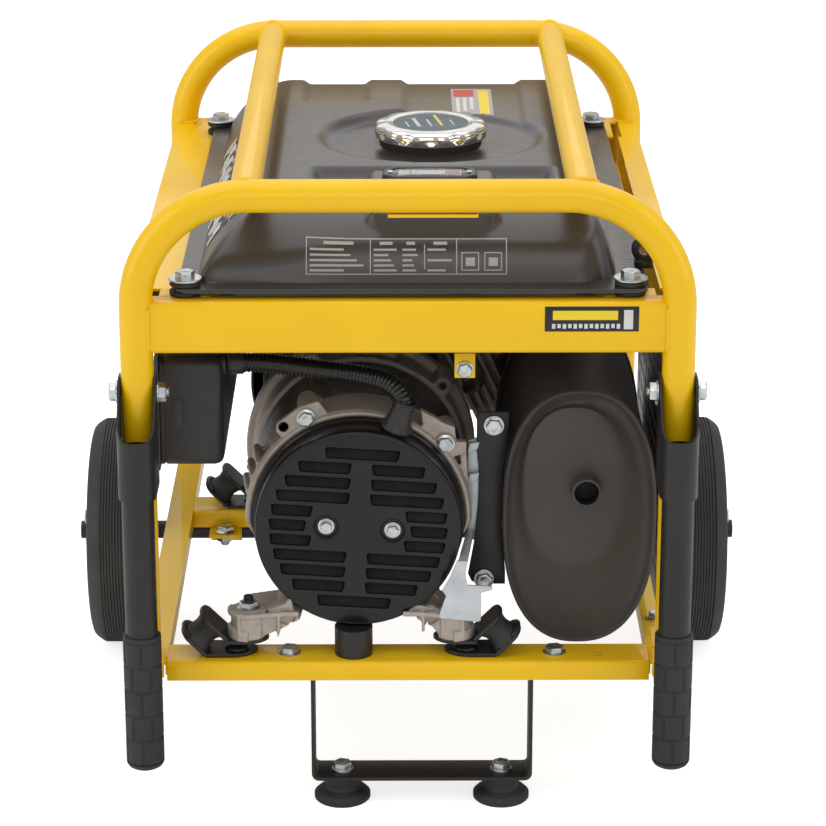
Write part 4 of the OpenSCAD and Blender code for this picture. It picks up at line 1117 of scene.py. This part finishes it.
def make_machine_castings():
    casting("drive_bracket_casting", "drive_bracket", "cast_alloy", None, 1.4)
    casting("crankcase_casting", "crankcase", "dark_cast", "dark_cast", 1.5,
            lambda bm: [foot_ribs(bm, FAR_MOUNT_Y - 14, side, FAR_MOUNT_Y) for side in (-1, 1)])
    casting("carburettor_casting", "carburettor", "cast_alloy", None, 0.8)
    casting("rocker_cover_casting", "rocker_cover", "dark_cast", None, 1.1)
    for node, material, width in (
            ("stator", "lamination", 0), ("windings", "copper", 0), ("rotor", "lamination", 0),
            ("shaft_bearing", "shaft_steel", 0), ("crankshaft", "shaft_steel", 0.6),
            ("flywheel", "cast_alloy", 0.8), ("cylinder_head", "cast_alloy", 0.6),
            ("dipstick", "gloss_plastic", 1.2), ("spark_plug", "gloss_plastic", 1.2),
            ("recoil_pulley", "nylon", 0.4), ("choke_lever", "gloss_plastic", 0.5),
            ("support_post", "black_paint", 1.0), ("air_filter", "black_plastic", 2.4),
            ("fan_cowl", "cover_paint", 0.7), ("recoil_housing", "cover_paint", 0.8),
            ("heat_guard", "black_paint", 0.3), ("control_panel", "panel", 0.8),
            ("sockets", "socket", 0.8), ("engine_switch", "red_plastic", 1.0),
            ("rubber_feet", "rubber", 0.5), ("axle", "black_paint", 1.0),
            ("left_hub", "black_plastic", 0.7), ("right_hub", "black_plastic", 0.7),
            ("left_handle", "black_paint", 0.4), ("right_handle", "black_paint", 0.4),
            ("tank_pan", "tank_paint", 0.3), ("tray_beams", "frame_paint", 0.4),
            ("bottom_rails", "frame_paint", 2.4), ("axle_clamps", "frame_paint", 0.6)):
        paint_node(node, material)
        if width:
            round_edges(node, width)


def round_edges(node, width):
    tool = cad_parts[node].modifiers.new("round_edges", "BEVEL")
    tool.width = width * MM
    tool.segments = 3 if width > 1.4 else 2
    tool.limit_method = "ANGLE"
    tool.angle_limit = radians(50)
    tool.harden_normals = True


# ------------------------------------------------------------------ bolts

def make_machine_bolts():
    bm = bmesh.new()
    for a in BOLT_ANGLES:
        x, z = polar(BOLT_RING_R, a)
        hex_bolt(bm, (SHAFT_X + x, BRACKET_Y - 1, SHAFT_Z + z), FORWARD, 6.6, flange=True, turn=a)
    for u in SCREW_US:
        hex_bolt(bm, on_cover(u, 0.4, 2.6), FORWARD, 5.2, washer=6.6, washer_t=1.2, turn=0.4 + u)
    for x, z in ((68, 301.5), (61, 171.5)):
        hex_bolt(bm, (x, 51.2, z), FORWARD, 7.0, washer=8.2, washer_t=1.8, turn=x)
    for side in (-1, 1):
        for y in (NEAR_MOUNT_Y, FAR_MOUNT_Y):
            hex_bolt(bm, (FEET[side], y, 163), UP, 8.0, flange=True, turn=y + side * 0.2, dome=False)
    finish("machine_bolt_heads", bm, "zinc", "zinc", replaces=("machine_bolts",))
    bm = bmesh.new()
    for side in (-1, 1):
        for y in (NEAR_MOUNT_Y, FAR_MOUNT_Y):
            lathe(bm, (FEET[side], y, 168), UP,
                  [(0, 3.9), (1.5, 4.0), (2.0, 3.5), (2.5, 4.0), (3.0, 3.5), (3.5, 4.0), (4.0, 3.5),
                   (4.5, 3.9),
                   (5.4, 3.2), (5.6, 0.01)], 20)
            lathe(bm, (FEET[side] + side * 10, y, box("cross_members")[1].z + 3), UP,
                  [(0, 9.8), (0.6, 9.9), (1.6, 9.4), (3.0, 7.8), (4.0, 5.4), (4.6, 3.2), (4.6, 2.6),
                   (2.6, 2.4),
                   (2.6, 0.01)], 40)
    finish("mount_bolts", bm, "gloss_plastic")


def make_frame_bolts():
    foot_x, foot_y = middle("foot_bracket").x, 8.0
    top = box("cross_members")[1].z
    bm = bmesh.new()
    for side in (-1, 1):
        hex_bolt(bm, (foot_x + side * 63.8, foot_y, 24), UP, 8, washer=8.8, turn=0.2 + side)
        hex_bolt(bm, (foot_x + side * 105, foot_y, top), UP, 8, flange=True, turn=0.7 * side)
        nut(bm, (foot_x + side * 105, foot_y, top - 5), DOWN, 8, tip=2.0)
        head = side * (LEG_X + 15.0)
        hex_bolt(bm, (head, 0, PIVOT_Z), (side, 0, 0), 8, washer=9.2, turn=0.5)
        nut(bm, (side * (LEG_X - 15.0), 0, PIVOT_Z), (-side, 0, 0), 8, tip=2.5, washer=8.4)
        low, high = box("axle_clamps")
        x, y, z = side * (high.x - 13.5), low.y + 10, box("bottom_rails")[0].z - 3
        hex_bolt(bm, (x, y, top - 15), UP, 8, flange=True, turn=0.2)
        nut(bm, (x, y, z), DOWN, 8, tip=4.0)
        for tank_y in TANK_BOLT_YS:
            at = Vector((side * TANK_BOLT_X, tank_y, FLANGE_Z + 4.5))
            hex_bolt(bm, at, UP, 8, washer=13, washer_t=1.5, turn=0.3 * side)
    wheel_out = box("left_tyre")[0].x
    axle = middle("axle")
    for side in (-1, 1):
        x = -side * wheel_out
        lathe(bm, (x + side * 0.6, axle.y, axle.z), (side, 0, 0),
              [(0, 8.2), (0, 13.4), (0.4, 14), (1.7, 14), (2.0, 13.5), (2.0, 8.2)], 48)
        add_rod(bm, (x + side * 8.6, axle.y - 3, axle.z + 12.5),
                (x + side * 8.6, axle.y + 1, axle.z - 13.5), 1.5, 14)
        sweep(bm, smooth_path([(x + side * 8.6, axle.y - 3, axle.z + 12),
                               (x + side * 8.4, axle.y - 5, axle.z + 15.6),
                               (x + side * 8.8, axle.y - 1, axle.z + 18),
                               (x + side * 9, axle.y + 2.4, axle.z + 15),
                               (x + side * 8.8, axle.y + 0.4, axle.z + 11)], 1.2), 1.1, 10)
    finish("frame_bolt_heads", bm, "zinc", "zinc", replaces=("frame_bolts",))
    bm = bmesh.new()
    for side in (-1, 1):
        lathe(bm, (-side * wheel_out + side * 2.6, axle.y, axle.z), (side, 0, 0),
              [(0, 8.1), (0, 10.2), (0.6, 10.8), (3.4, 10.8), (4.4, 9.8), (4.4, 8.1)], 40)
    finish("axle_collars", bm, "black_paint")


# ------------------------------------------------------------------ rubber mounts

def make_mounts():
    top = box("cross_members")[1].z
    rubbers, plates = bmesh.new(), bmesh.new()
    for side in (-1, 1):
        for y in (NEAR_MOUNT_Y, FAR_MOUNT_Y):
            centre = Vector((FEET[side] + side * 35, y, 144))
            along = Vector((-side, 0, -1)).normalized()      # down the slope, towards the shaft
            out = Vector((-side, 0, 1)).normalized()         # up from the lower plate to the upper one
            across = Vector((0, 1, 0))

            def spot(a, c, b):
                return centre + along * a + across * c + out * b

            # rubber block, drawn in at its waist
            loops = []
            for b, grow in ((-9, 0.6), (-8.2, 1.0), (-7.0, 0.2), (-4, -1.0), (0, -1.6), (4, -1.0), (7.0, 0.2),
                            (8.2, 1.0), (9, 0.6)):
                loops.append([spot(a, c, b) for a, c in round_rect(23 + 2 * grow, 29 + 2 * grow, 10)])
            loop_faces(rubbers, loops, True, True, True)
            # slanted legs of the two plates: rounded ends, the lower one curled up round the rubber
            for b0, b1, foot in ((-12.0, -9.0, 11.5), (9.0, 12.0, 15.5)):
                outline = [(foot, -15.5), (-6.0, -15.5)] + \
                    [(-6.0 - 8.6 * sin(radians(t)), -15.5 * cos(radians(t))) for t in range(10, 171, 10)] + \
                    [(-6.0, 15.5), (foot, 15.5)]
                loops = []
                for b, shrink in ((b0, 0.6), (b0 + 0.6, 0.0), (b1 - 0.6, 0.0), (b1, 0.6)):
                    loops.append([spot(a + shrink * (0.6 if a < 0 else 0), c * (1 - shrink / 16), b) for a,
                                  c in outline])
                loop_faces(plates, loops, True, True, True)
            curl = [spot(-14.4 * cos(radians(t)) - 0.4, 15.2 * sin(radians(t)), -8.2)
                    for t in range(-62, 63, 8)]
            sweep(plates, curl, 1.9, 12)
            # flat foot on the cross member, pointed towards the shaft
            start = centre.x - side * 1.4
            bolt = FEET[side] + side * 10

            def tongue(level, thick, x_start, x_round, reach, half):
                pts = [(x_start, -half), (x_round, -half)]
                for t in range(0, 91, 10):
                    f = radians(t)
                    pts.append((x_round - side * reach * sin(f), -half * cos(f) ** 1.25))
                pts += [(x, -c) for x, c in reversed(pts)][1:]
                loops = []
                for lift, shrink in ((0, 0.5), (0.5, 0), (thick - 0.5, 0), (thick, 0.5)):
                    loops.append([Vector((x, y + c * (1 - shrink / 14), level + lift)) for x, c in pts])
                loop_faces(plates, loops, True, True, True)

            tongue(top, 3.0, start, bolt + side * 4, 21.0, 15.0)
            tongue(137.0, 3.0, centre.x - side * 17.0, FEET[side] + side * 3, 19.0, 15.0)
    finish("mount_rubber_blocks", rubbers, "rubber", "soft_rubber", replaces=("mount_rubbers",))
    finish("mount_plate_pairs", plates, "black_paint", "black_paint", replaces=("mount_plates",))


# ------------------------------------------------------------------ wheels, handles and foot

def make_tyres():
    for which in ("left", "right"):
        low, high = box(which + "_tyre")
        centre, r, w = (low + high) / 2, (high.z - low.z) / 2, high.x - low.x
        hub = 60
        half = [(-w / 2 + 3, hub - 1), (-w / 2 + 1.6, hub + 3), (-w / 2 + 1.0, hub + 10),
                (-w / 2 + 1.4, hub + 10.6),
                (-w / 2 + 0.8, hub + 12), (-w / 2, r - 15), (-w / 2 + 0.1, r - 10), (-w / 2 + 0.9, r - 7.2),
                (-w / 2 + 3.2, r - 4.6), (-w / 2 + 7.6, r - 1.6), (-w / 2 + 9.6, r - 0.5),
                (-w / 2 + 10.4, r - 0.3)]
        profile = list(half)
        x = -w / 2 + 11.0
        while x < w / 2 - 11.0:
            profile += [(x, r - 0.1), (x + 1.7, r - 0.1), (x + 1.9, r - 1.5), (x + 2.4, r - 1.5)]
            x += 2.56
        profile += [(-a, b) for a, b in reversed(half)]
        bm = bmesh.new()
        lathe(bm, centre, RIGHT, profile, 160)
        finish(which + "_tyre_tread", bm, "tyre", "tyre", body=which + "_wheel",
               replaces=(which + "_tyre",), sharp=55)


def make_grips():
    for which in ("left", "right"):
        low, high = box(which + "_grip")
        centre = (low + high) / 2
        r, long = (high.x - low.x) / 2, high.z - low.z
        row = (long - 10) / 5

        def brick(angle, along, radius):
            if along < 6 or along > long - 4 or radius < r - 0.6:
                return radius
            k, inside = divmod(along - 6, row)
            deep = ease(min(inside, row - inside), 1.3, 0.5)
            joint = (angle / (2 * pi) * 6 + 0.5 * (k % 2)) % 1.0
            side_gap = min(joint, 1 - joint) * 2 * pi * r / 6
            deep = max(deep, ease(side_gap, 1.3, 0.5))
            return radius - 1.1 * deep

        profile = [(0.0, 0.01), (0.0, r - 6.0), (0.5, r - 4.0), (2.0, r - 1.6), (4.2, r - 0.3), (5.4, r)]
        step = 0.55
        profile += [(z, r) for z in spaced(6.0, long - 4.0, step)]
        profile += [(long - 3.2, r + 0.0), (long - 1.2, r - 0.1), (long - 0.3, r - 0.9), (long, r - 2.0),
                    (long, 12.6)]
        bm = bmesh.new()
        lathe(bm, (centre.x, centre.y, low.z), UP, profile, 144, radius_at=brick)
        finish(which + "_grip_sleeve", bm, "rubber", "soft_rubber", body=which + "_carry_handle",
               replaces=(which + "_grip",), sharp=60)


def make_foot_bracket():
    low, high = box("foot_bracket")
    x0 = middle("foot_bracket").x
    top, t = high.z, 3.0
    half = 88.0
    line = [(-119, top - t / 2), (-half + t / 2, top - t / 2), (-half + t / 2, low.z + t / 2)]
    line += [(-x, z) for x, z in reversed(line)]
    bm = bmesh.new()
    bent_sheet(bm, [(x0 + x, z) for x, z in line], t, 5.5, low.y, high.y, "front", steps=8)
    finish("foot_bracket_strap", bm, "black_paint", "black_paint", replaces=("foot_bracket",), bevel=0.5)


# ------------------------------------------------------------------ exhaust

def make_muffler():
    low, high = box("muffler")
    w, h = high.x - low.x, 213.0
    cx, cz = (low.x + high.x) / 2, high.z - h / 2
    y0, y1 = 30.0, 235.0

    def ring(half_w, half_h, y, dx=0.0, dz=0.0):
        made = []
        for t in around(128):
            c, s = cos(t), sin(t)
            made.append(Vector((cx + dx + half_w * copysign(abs(c) ** 0.84, c), y,
                                cz + dz + half_h * copysign(abs(s) ** 0.84, s))))
        return made

    a, b = w / 2, h / 2
    bm = bmesh.new()
    loops = [ring(*r) for r in (
        (10, 16, y0 + 0.6, -5, 26), (32, 56, y0 + 0.8, -5, 26), (38, 64, y0 + 1.0, -5, 26),
        (40.2, 67, y0 + 2.0, -4.8, 24.6),
        (41.8, 70, y0 + 4.0, -4.4, 22), (45.5, 79, y0 + 6.6, -2.4, 14), (50, 93, y0 + 8.0, -0.6, 3),
        (54.0, 100, y0 + 6.6),
        (56.5, 102, y0 + 3.6), (57.4, 103, y0 + 1.6), (58.2, 103.8, y0 + 0.4), (59.4, 104.9, y0),
        (60.4, 105.9, y0 + 0.7),
        (a - 0.05, b - 0.05, y0 + 2.2), (a, b, y0 + 4.6), (a - 0.6, b - 0.6, y0 + 6.2),
        (a - 2.0, b - 2.0, y0 + 7.2),
        (a - 2.2, b - 2.2, y0 + 9), (a - 2.2, b - 2.2, y1 - 9), (a - 2.0, b - 2.0, y1 - 7.2),
        (a - 0.4, b - 0.4, y1 - 6),
        (a, b, y1 - 3.6), (a - 0.8, b - 0.8, y1 - 0.8), (a - 2.6, b - 2.6, y1), (a - 5.0, b - 5.0, y1 - 1.4),
        (a - 8, b - 8, y1 - 2.6), (a - 40, b - 40, y1 - 2.2))]
    loop_faces(bm, loops, True, True, True)
    lathe(bm, (OUTLET_X, y0 + 3.4, OUTLET_Z), FORWARD,
          [(0, 17.5), (0.8, 15.6), (2.0, 13.6), (4.0, 12.4), (7, 11.8), (15.6, 11.7), (17.0, 11.5),
           (17.4, 10.8),
           (17.2, 9.8), (15, 9.7), (-6, 9.7), (-6, 0.01)], 64)
    # near-black liner and cap just inside the outlet: painted shade for the pipe's dark depth
    bore = bmesh.new()
    lathe(bore, (OUTLET_X, y0, OUTLET_Z), FORWARD, [(13.2, 9.65), (0.6, 9.5), (0.6, 0.01)], 48)
    finish("muffler_bore", bore, "bore_black")
    pipe_x, pipe_z = SHAFT_X + 148 * cos(radians(25)), SHAFT_Z + 148 * sin(radians(25))
    lathe(bm, (pipe_x, y1 - 3, pipe_z), BACKWARD, [(0, 20), (1.5, 17), (4, 14.4), (8, 14), (17.6, 14),
                                                   (17.8, 13)], 48)
    finish("muffler_shell", bm, "heat_paint", "heat_paint", replaces=("muffler",), sharp=40)


def make_muffler_brackets():
    plate("muffler_plate", [[(54.5, 309), (57.5, 312), (80, 312), (80, 300), (76, 262), (75, 214),
                             (78, 178), (78, 166.3),
                             (56, 166.3), (51, 169), (48.2, 175), (52.5, 200), (56, 232), (56.6, 262),
                             (54.4, 284)]],
          "front", 53.4, 3.0, "black_paint", edge=0.7, slot="black_paint", replaces=("muffler_brackets",))
    # zinc stay: narrow upper strip, then a wide plate that stands in front of the engine foot
    plate("muffler_stay", [[(47.7, 287), (57.4, 290), (58.4, 262), (57.6, 232), (57.5, 203), (47.6, 203),
                            (48.4, 236),
                            (47.4, 262)]],
          "front", 57.0, 2.6, "zinc_plate", edge=0.5)
    plate("muffler_stay_foot", [[(38.4, 209), (46.4, 209), (45.0, 197), (46.4, 188.6), (66, 187.4),
                                 (66, 184.6),
                                 (57.2, 182), (57.2, 158.8),
                                 (55.2, 157.6), (24.6, 160.6), (24.6, 164), (26.2, 169), (29.8, 179.6),
                                 (26.8, 183.8),
                                 (32.8, 195)]],
          "front", -4.6, 2.4, "zinc_plate", edge=0.5)
    bm = bmesh.new()
    loops = [[Vector(p) for p in ((47.6, 59, z0), (53.5, 59, z0), (46.2, -3.6, z1), (38.6, -3.6, z1))]
             for z0, z1 in ((210, 204.6), (212.4, 207))]
    loop_faces(bm, loops, True, True, True)
    finish("muffler_stay_bridge", bm, "zinc_plate", bevel=0.8)
    # near-black disc: a painted hole, its shade painted on the stay's foot instead of cut
    bm = bmesh.new()
    add_prism(bm, [(30.6 + 2.4 * cos(a), 172.6 + 4.4 * sin(a)) for a in around(24)],
              -4.9, -4.5)
    finish("muffler_stay_hole", bm, "bore_black")
    bm = bmesh.new()
    for z in (283, 257):
        add_prism(bm, [(47, z - 4), (55.5, z - 1.5), (56.8, z + 4.6), (48.6, z + 3.4)], 50.5, 55.6)
    finish("muffler_stay_tabs", bm, "zinc_plate", bevel=0.8)
    # nut and washer at the guard, between the muffler and the side beam
    bm = bmesh.new()
    hex_bolt(bm, (201.0, 60, 318), (-1, 0, 0), 7, washer=8)
    hex_bolt(bm, (201.0, 76, box("bottom_rails")[1].z), UP, 6, washer=7)
    finish("guard_bolts", bm, "zinc")


# ------------------------------------------------------------------ electrics

def make_control_box():
    low, high = box("control_box")
    y_mid, z_mid = (low.y + high.y) / 2, (low.z + high.z) / 2
    d, h = high.y - low.y, high.z - low.z

    def ring(x, grow):
        return [Vector((x, y, z)) for y, z in round_rect(d - 2 * grow, h - 2 * grow, 9, (y_mid, z_mid), 6)]

    bm = bmesh.new()
    loops = [ring(x, g) for x, g in ((low.x, 2.0), (low.x, 0.4), (low.x + 0.6, 0), (low.x + 3, 0),
                                     (low.x + 3.4, 0.7),
                                     (low.x + 4.4, 0.7), (low.x + 4.8, 0), (high.x - 7, 0),
                                     (high.x - 4.4, 0.5),
                                     (high.x - 2.2, 1.6), (high.x - 0.8, 3.2), (high.x, 6.0), (high.x, 12))]
    loop_faces(bm, loops, True, False, True)
    # embossed strip on the face that looks forward, and the socket of the conduit's sleeve
    add_box(bm, (low.x + 10, low.y - 0.7, low.z + 34), (low.x + 18, low.y + 1, low.z + 56))
    lathe(bm, (high.x - 1, 62, 350), RIGHT, [(0, 9.5), (1.0, 9.5), (1.4, 9), (3.4, 9), (3.8, 8.2),
                                             (3.8, 6)], 40)
    finish("control_box_shell", bm, "black_plastic", "black_plastic", replaces=("control_box",), sharp=35,
           bevel=0.4)
    bm = bmesh.new()
    for y in (low.y + 10, high.y - 10):
        for z in (low.z + 9, high.z - 9):
            hex_bolt(bm, (low.x - 3, y, z), (-1, 0, 0), 4.5, washer=4.6, washer_t=0.8)
    finish("panel_screws", bm, "zinc")


def make_conduit():
    """Corrugated conduit from the control box to the rubber boot on the end bracket."""
    route = smooth_path([(-141, 62, 350.5), (-130, 62, 350.5), (-112, 60, 350.5), (-95, 57, 349.6),
                         (-80, 54, 348.4),
                         (-62, 50.5, 347), (-46, 46, 346.2), (-32, 40.6, 345.4), (-20, 34, 344.4),
                         (-10.5, 27.4, 341),
                         (-4.6, 23, 334.6), (-2.2, 20.6, 328)], 0.55)
    bm = bmesh.new()

    def ridge(length):
        return 7.2 + 0.85 * ease(sin(2 * pi * length / 3.1), -0.5, 0.5)

    sweep(bm, route, ridge, 28)
    finish("wiring_conduit", bm, "gloss_plastic", "black_plastic", replaces=("conduit",), sharp=70)
    bm = bmesh.new()
    down = Vector((-0.30, 0.16, -0.94)).normalized()
    lathe(bm, Vector((-1.4, 19.6, 333)), down,
          [(0, 7.0), (0.2, 8.4), (1.2, 8.9), (2.2, 8.3), (3.2, 8.8), (4.4, 9.1), (5.4, 8.4), (6.4, 9.0),
           (7.6, 9.3),
           (8.8, 8.7), (10, 9.1), (14, 9.6), (18, 10.2), (21, 10.9), (22.4, 12.4), (24, 13.0), (25.4, 12.6),
           (25.4, 9)], 56)
    # sleeve where the conduit leaves the box
    lathe(bm, (-141.5, 62, 350.5), RIGHT, [(0, 9.0), (0.6, 9.6), (5, 9.5), (12, 9.2), (12.8, 8.6),
                                           (12.8, 7.0)], 40)
    finish("conduit_boots", bm, "black_plastic", sharp=50)


def make_labels():
    """Plain label on the front beam: black, a yellow bar, a row of dashes and a white block."""
    y = box("front_beam")[0].y
    bm = bmesh.new()
    add_box(bm, (104, y - 0.3, 397.5), (175.5, y + 0.2, 417.3))
    finish("front_label", bm, "print_black", bevel=0.12)
    bm = bmesh.new()
    add_box(bm, (110, y - 0.4, 406.7), (159.5, y + 0.1, 414.0), 0)
    add_box(bm, (164, y - 0.4, 399.3), (171, y + 0.1, 414.6), 1)
    for k in range(13):
        add_box(bm, (109.4 + k * 4.1, y - 0.4, 399.8 + 0.5 * (k % 2)), (112.0 + k * 4.1, y + 0.1, 403.6), 1)
    finish("front_label_print", bm, ("print_yellow", "print_white"))


# ------------------------------------------------------------------ hoses and small parts behind

def make_hoses():
    bm = bmesh.new()
    # fuel hose from the tap's outlet to the float bowl
    sweep(bm, smooth_path([(-110, 430, 338), (-110, 429, 326), (-84, 424, 316), (-30, 424, 318),
                           (30, 424, 314),
                           (62, 424, 292), (72, 412, 284), (84, 399, 284)], 4), 4.2, 16)
    # breather hose behind the alternator's upper right, held at both ends
    sweep(bm, smooth_path([(36, 300, 318), (34, 220, 350), (32, 150, 356), (40, 110, 352), (52, 96, 338),
                           (56, 110, 318),
                           (50, 150, 300)], 5), 5.6, 18)
    finish("hoses", bm, "rubber", "soft_rubber")


def make_tank_clip():
    """Clip with a round eye on the tank's right flange."""
    bm = bmesh.new()
    add_box(bm, (176, 52, 429.5), (190, 64, 436))
    lathe(bm, (183.5, 54, 444), BACKWARD, [(0, 4.2), (0, 9.4), (0.6, 10), (6.4, 10), (7, 9.4), (7, 4.2),
                                           (0, 4.2)], 36)
    finish("tank_clip", bm, "gloss_plastic", bevel=0.4)


def make_plug_lead():
    """Lead from the cowl's coil to the spark plug's cap."""
    bm = bmesh.new()
    low, high = box("spark_plug")
    top = Vector(((low.x + high.x) / 2, (low.y + high.y) / 2, high.z - 6))
    sweep(bm, smooth_path([top + Vector((6, 0, 2)), top + Vector((12, 22, 14)), top + Vector((0, 60, 26)),
                           top + Vector((-40, 90, 12))], 4), 3.2, 14)
    finish("plug_lead", bm, "gloss_plastic")


def make_beam_tab():
    """Bolted tab under the front beam."""
    bm = bmesh.new()
    add_box(bm, (36, 17, 352), (52, 19.5, 372))
    finish("beam_tab", bm, "frame_paint", bevel=0.5)
    bm = bmesh.new()
    hex_bolt(bm, (44, 17, 359.5), FORWARD, 6, washer=6.6, turn=0.3)
    finish("beam_tab_bolt", bm, "zinc")


def make_starter():
    """T-grip of the starter and the short run of its rope."""
    low, high = box("recoil_grip")
    middle_z = (low.z + high.z) / 2
    y = (low.y + high.y) / 2
    grip_x = low.x + 9
    bm = bmesh.new()
    loops = []
    for z, a, b in ((-30, 3, 4), (-29.4, 5.6, 6.4), (-26, 7.6, 7.8), (-18, 8.0, 8.6), (-8, 7.4, 8.8),
                    (0, 7.0, 8.9),
                    (8, 7.4, 8.8), (18, 8.0, 8.6), (26, 7.6, 7.8), (29.4, 5.6, 6.4), (30, 3, 4)):
        loops.append([Vector((grip_x - 1 + a * cos(t), y + b * sin(t), middle_z + z))
                      for t in around(32)])
    loop_faces(bm, loops, True, True, True)
    lathe(bm, (grip_x + 3, y, middle_z), RIGHT, [(0, 9.0), (3, 8.4), (7, 6.0), (9.0, 5.4), (9.2, 2.0)], 32)
    finish("starter_tee", bm, "gloss_plastic", "black_plastic", body="starter_grip",
           replaces=("recoil_grip",), sharp=50)
    bm = bmesh.new()
    start, end = low.x + 14, high.x + 12
    count = 60
    loops = []
    for k in range(count + 1):
        x = start + (end - start) * k / count
        loop = []
        for t in around(24):
            r = 2.1 + 0.12 * sin(6 * t + x * 1.6)      # laid strands
            loop.append(Vector((x, y + r * cos(t), middle_z + r * sin(t))))
        loops.append(loop)
    loop_faces(bm, loops, True, True, True)
    rope = finish("starter_rope", bm, "nylon", body=None, sharp=80)
    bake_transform(rope)

# ------------------------------------------------------------------ floor, light, camera

def build_stage():
    floor = bpy.data.meshes.new("floor")
    reach = 14.0
    corners = [(-reach, -reach, 0), (reach, -reach, 0), (reach, reach, 0), (-reach, reach, 0)]
    floor.from_pydata(corners, [], [(0, 1, 2, 3)])
    n = Nodes("studio_floor")
    n.use(Base_Color=n.ramp(n.noise(3, 3), (0.86, 0.86, 0.86), (0.9, 0.9, 0.9)))
    seen = n.add("ShaderNodeLightPath").outputs["Is Camera Ray"]
    n.use(Emission_Strength=n.math("ADD", n.math("MULTIPLY", seen, 0.62), 0.08))
    n.set(Roughness=0.75, Specular_IOR_Level=0.1, Emission_Color=(1, 1, 1, 1))
    floor.materials.append(n.material)
    piece = bpy.data.objects.new("studio_floor", floor)
    bpy.context.scene.collection.objects.link(piece)


def softbox(name, place, target, size, power, colour=(1, 1, 1)):
    lamp = bpy.data.lights.new(name, "AREA")
    lamp.shape = "RECTANGLE"
    lamp.size, lamp.size_y = size
    lamp.energy = power
    lamp.color = colour
    light = bpy.data.objects.new(name, lamp)
    light.location = place
    light.rotation_euler = (Vector(target) - Vector(place)).to_track_quat("-Z", "Y").to_euler()
    bpy.context.scene.collection.objects.link(light)


def build_lights():
    centre = (0, 0, 0.25)
    softbox("top_light", (0.0, 0.2, 2.6), centre, (3.0, 3.0), 33)
    softbox("left_light", (-2.4, -1.0, 1.3), centre, (1.6, 2.2), 18)
    softbox("right_light", (2.4, -1.0, 1.3), centre, (1.6, 2.2), 13)
    softbox("front_light", (0.3, -3.4, 1.8), centre, (2.4, 1.6), 15)
    softbox("back_light", (0.0, 2.6, 1.9), (0, 0.3, 0.4), (3.4, 1.6), 11)
    world = bpy.data.worlds.new("studio")
    world.use_nodes = True
    tree = world.node_tree
    sky = tree.nodes["Background"]
    sky.inputs["Color"].default_value = (1, 1, 1, 1)
    # white behind the object, dimmer as a light on it
    strength = tree.nodes.new("ShaderNodeMapRange")
    strength.inputs["To Min"].default_value = 0.46
    strength.inputs["To Max"].default_value = 1.0
    tree.links.new(tree.nodes.new("ShaderNodeLightPath").outputs["Is Camera Ray"], strength.inputs["Value"])
    tree.links.new(strength.outputs["Result"], sky.inputs["Strength"])
    bpy.context.scene.world = world
    bpy.context.scene.view_settings.view_transform = "Standard"


def build_camera():
    """Long lens a little over two metres in front, looking down on the alternator end."""
    place = Vector((-6.71 * MM, -2255.18 * MM + ROW_Y, 1105.93 * MM))
    pitch, yaw = radians(19.0), radians(0.27)
    ahead = Vector((sin(yaw) * cos(pitch), cos(yaw) * cos(pitch), -sin(pitch)))
    right = Vector((cos(yaw), -sin(yaw), 0))
    up = right.cross(ahead)
    data = bpy.data.cameras.new("photo_camera")
    data.sensor_width = 36
    data.lens = 135.1
    data.clip_end = 60
    camera = bpy.data.objects.new("photo_camera", data)
    camera.matrix_world = Matrix((
        (right.x, up.x, -ahead.x, place.x),
        (right.y, up.y, -ahead.y, place.y),
        (right.z, up.z, -ahead.z, place.z),
        (0, 0, 0, 1)))
    bpy.context.scene.collection.objects.link(camera)
    bpy.context.scene.camera = camera


build_frame()
build_tank()
make_end_cover()
make_end_bracket()
make_machine_castings()
make_machine_bolts()
make_frame_bolts()
make_mounts()
make_tyres()
make_grips()
make_foot_bracket()
make_muffler()
make_muffler_brackets()
make_control_box()
make_conduit()
make_labels()
make_hoses()
make_tank_clip()
make_plug_lead()
make_beam_tab()
make_starter()
build_stage()
build_lights()
build_camera()
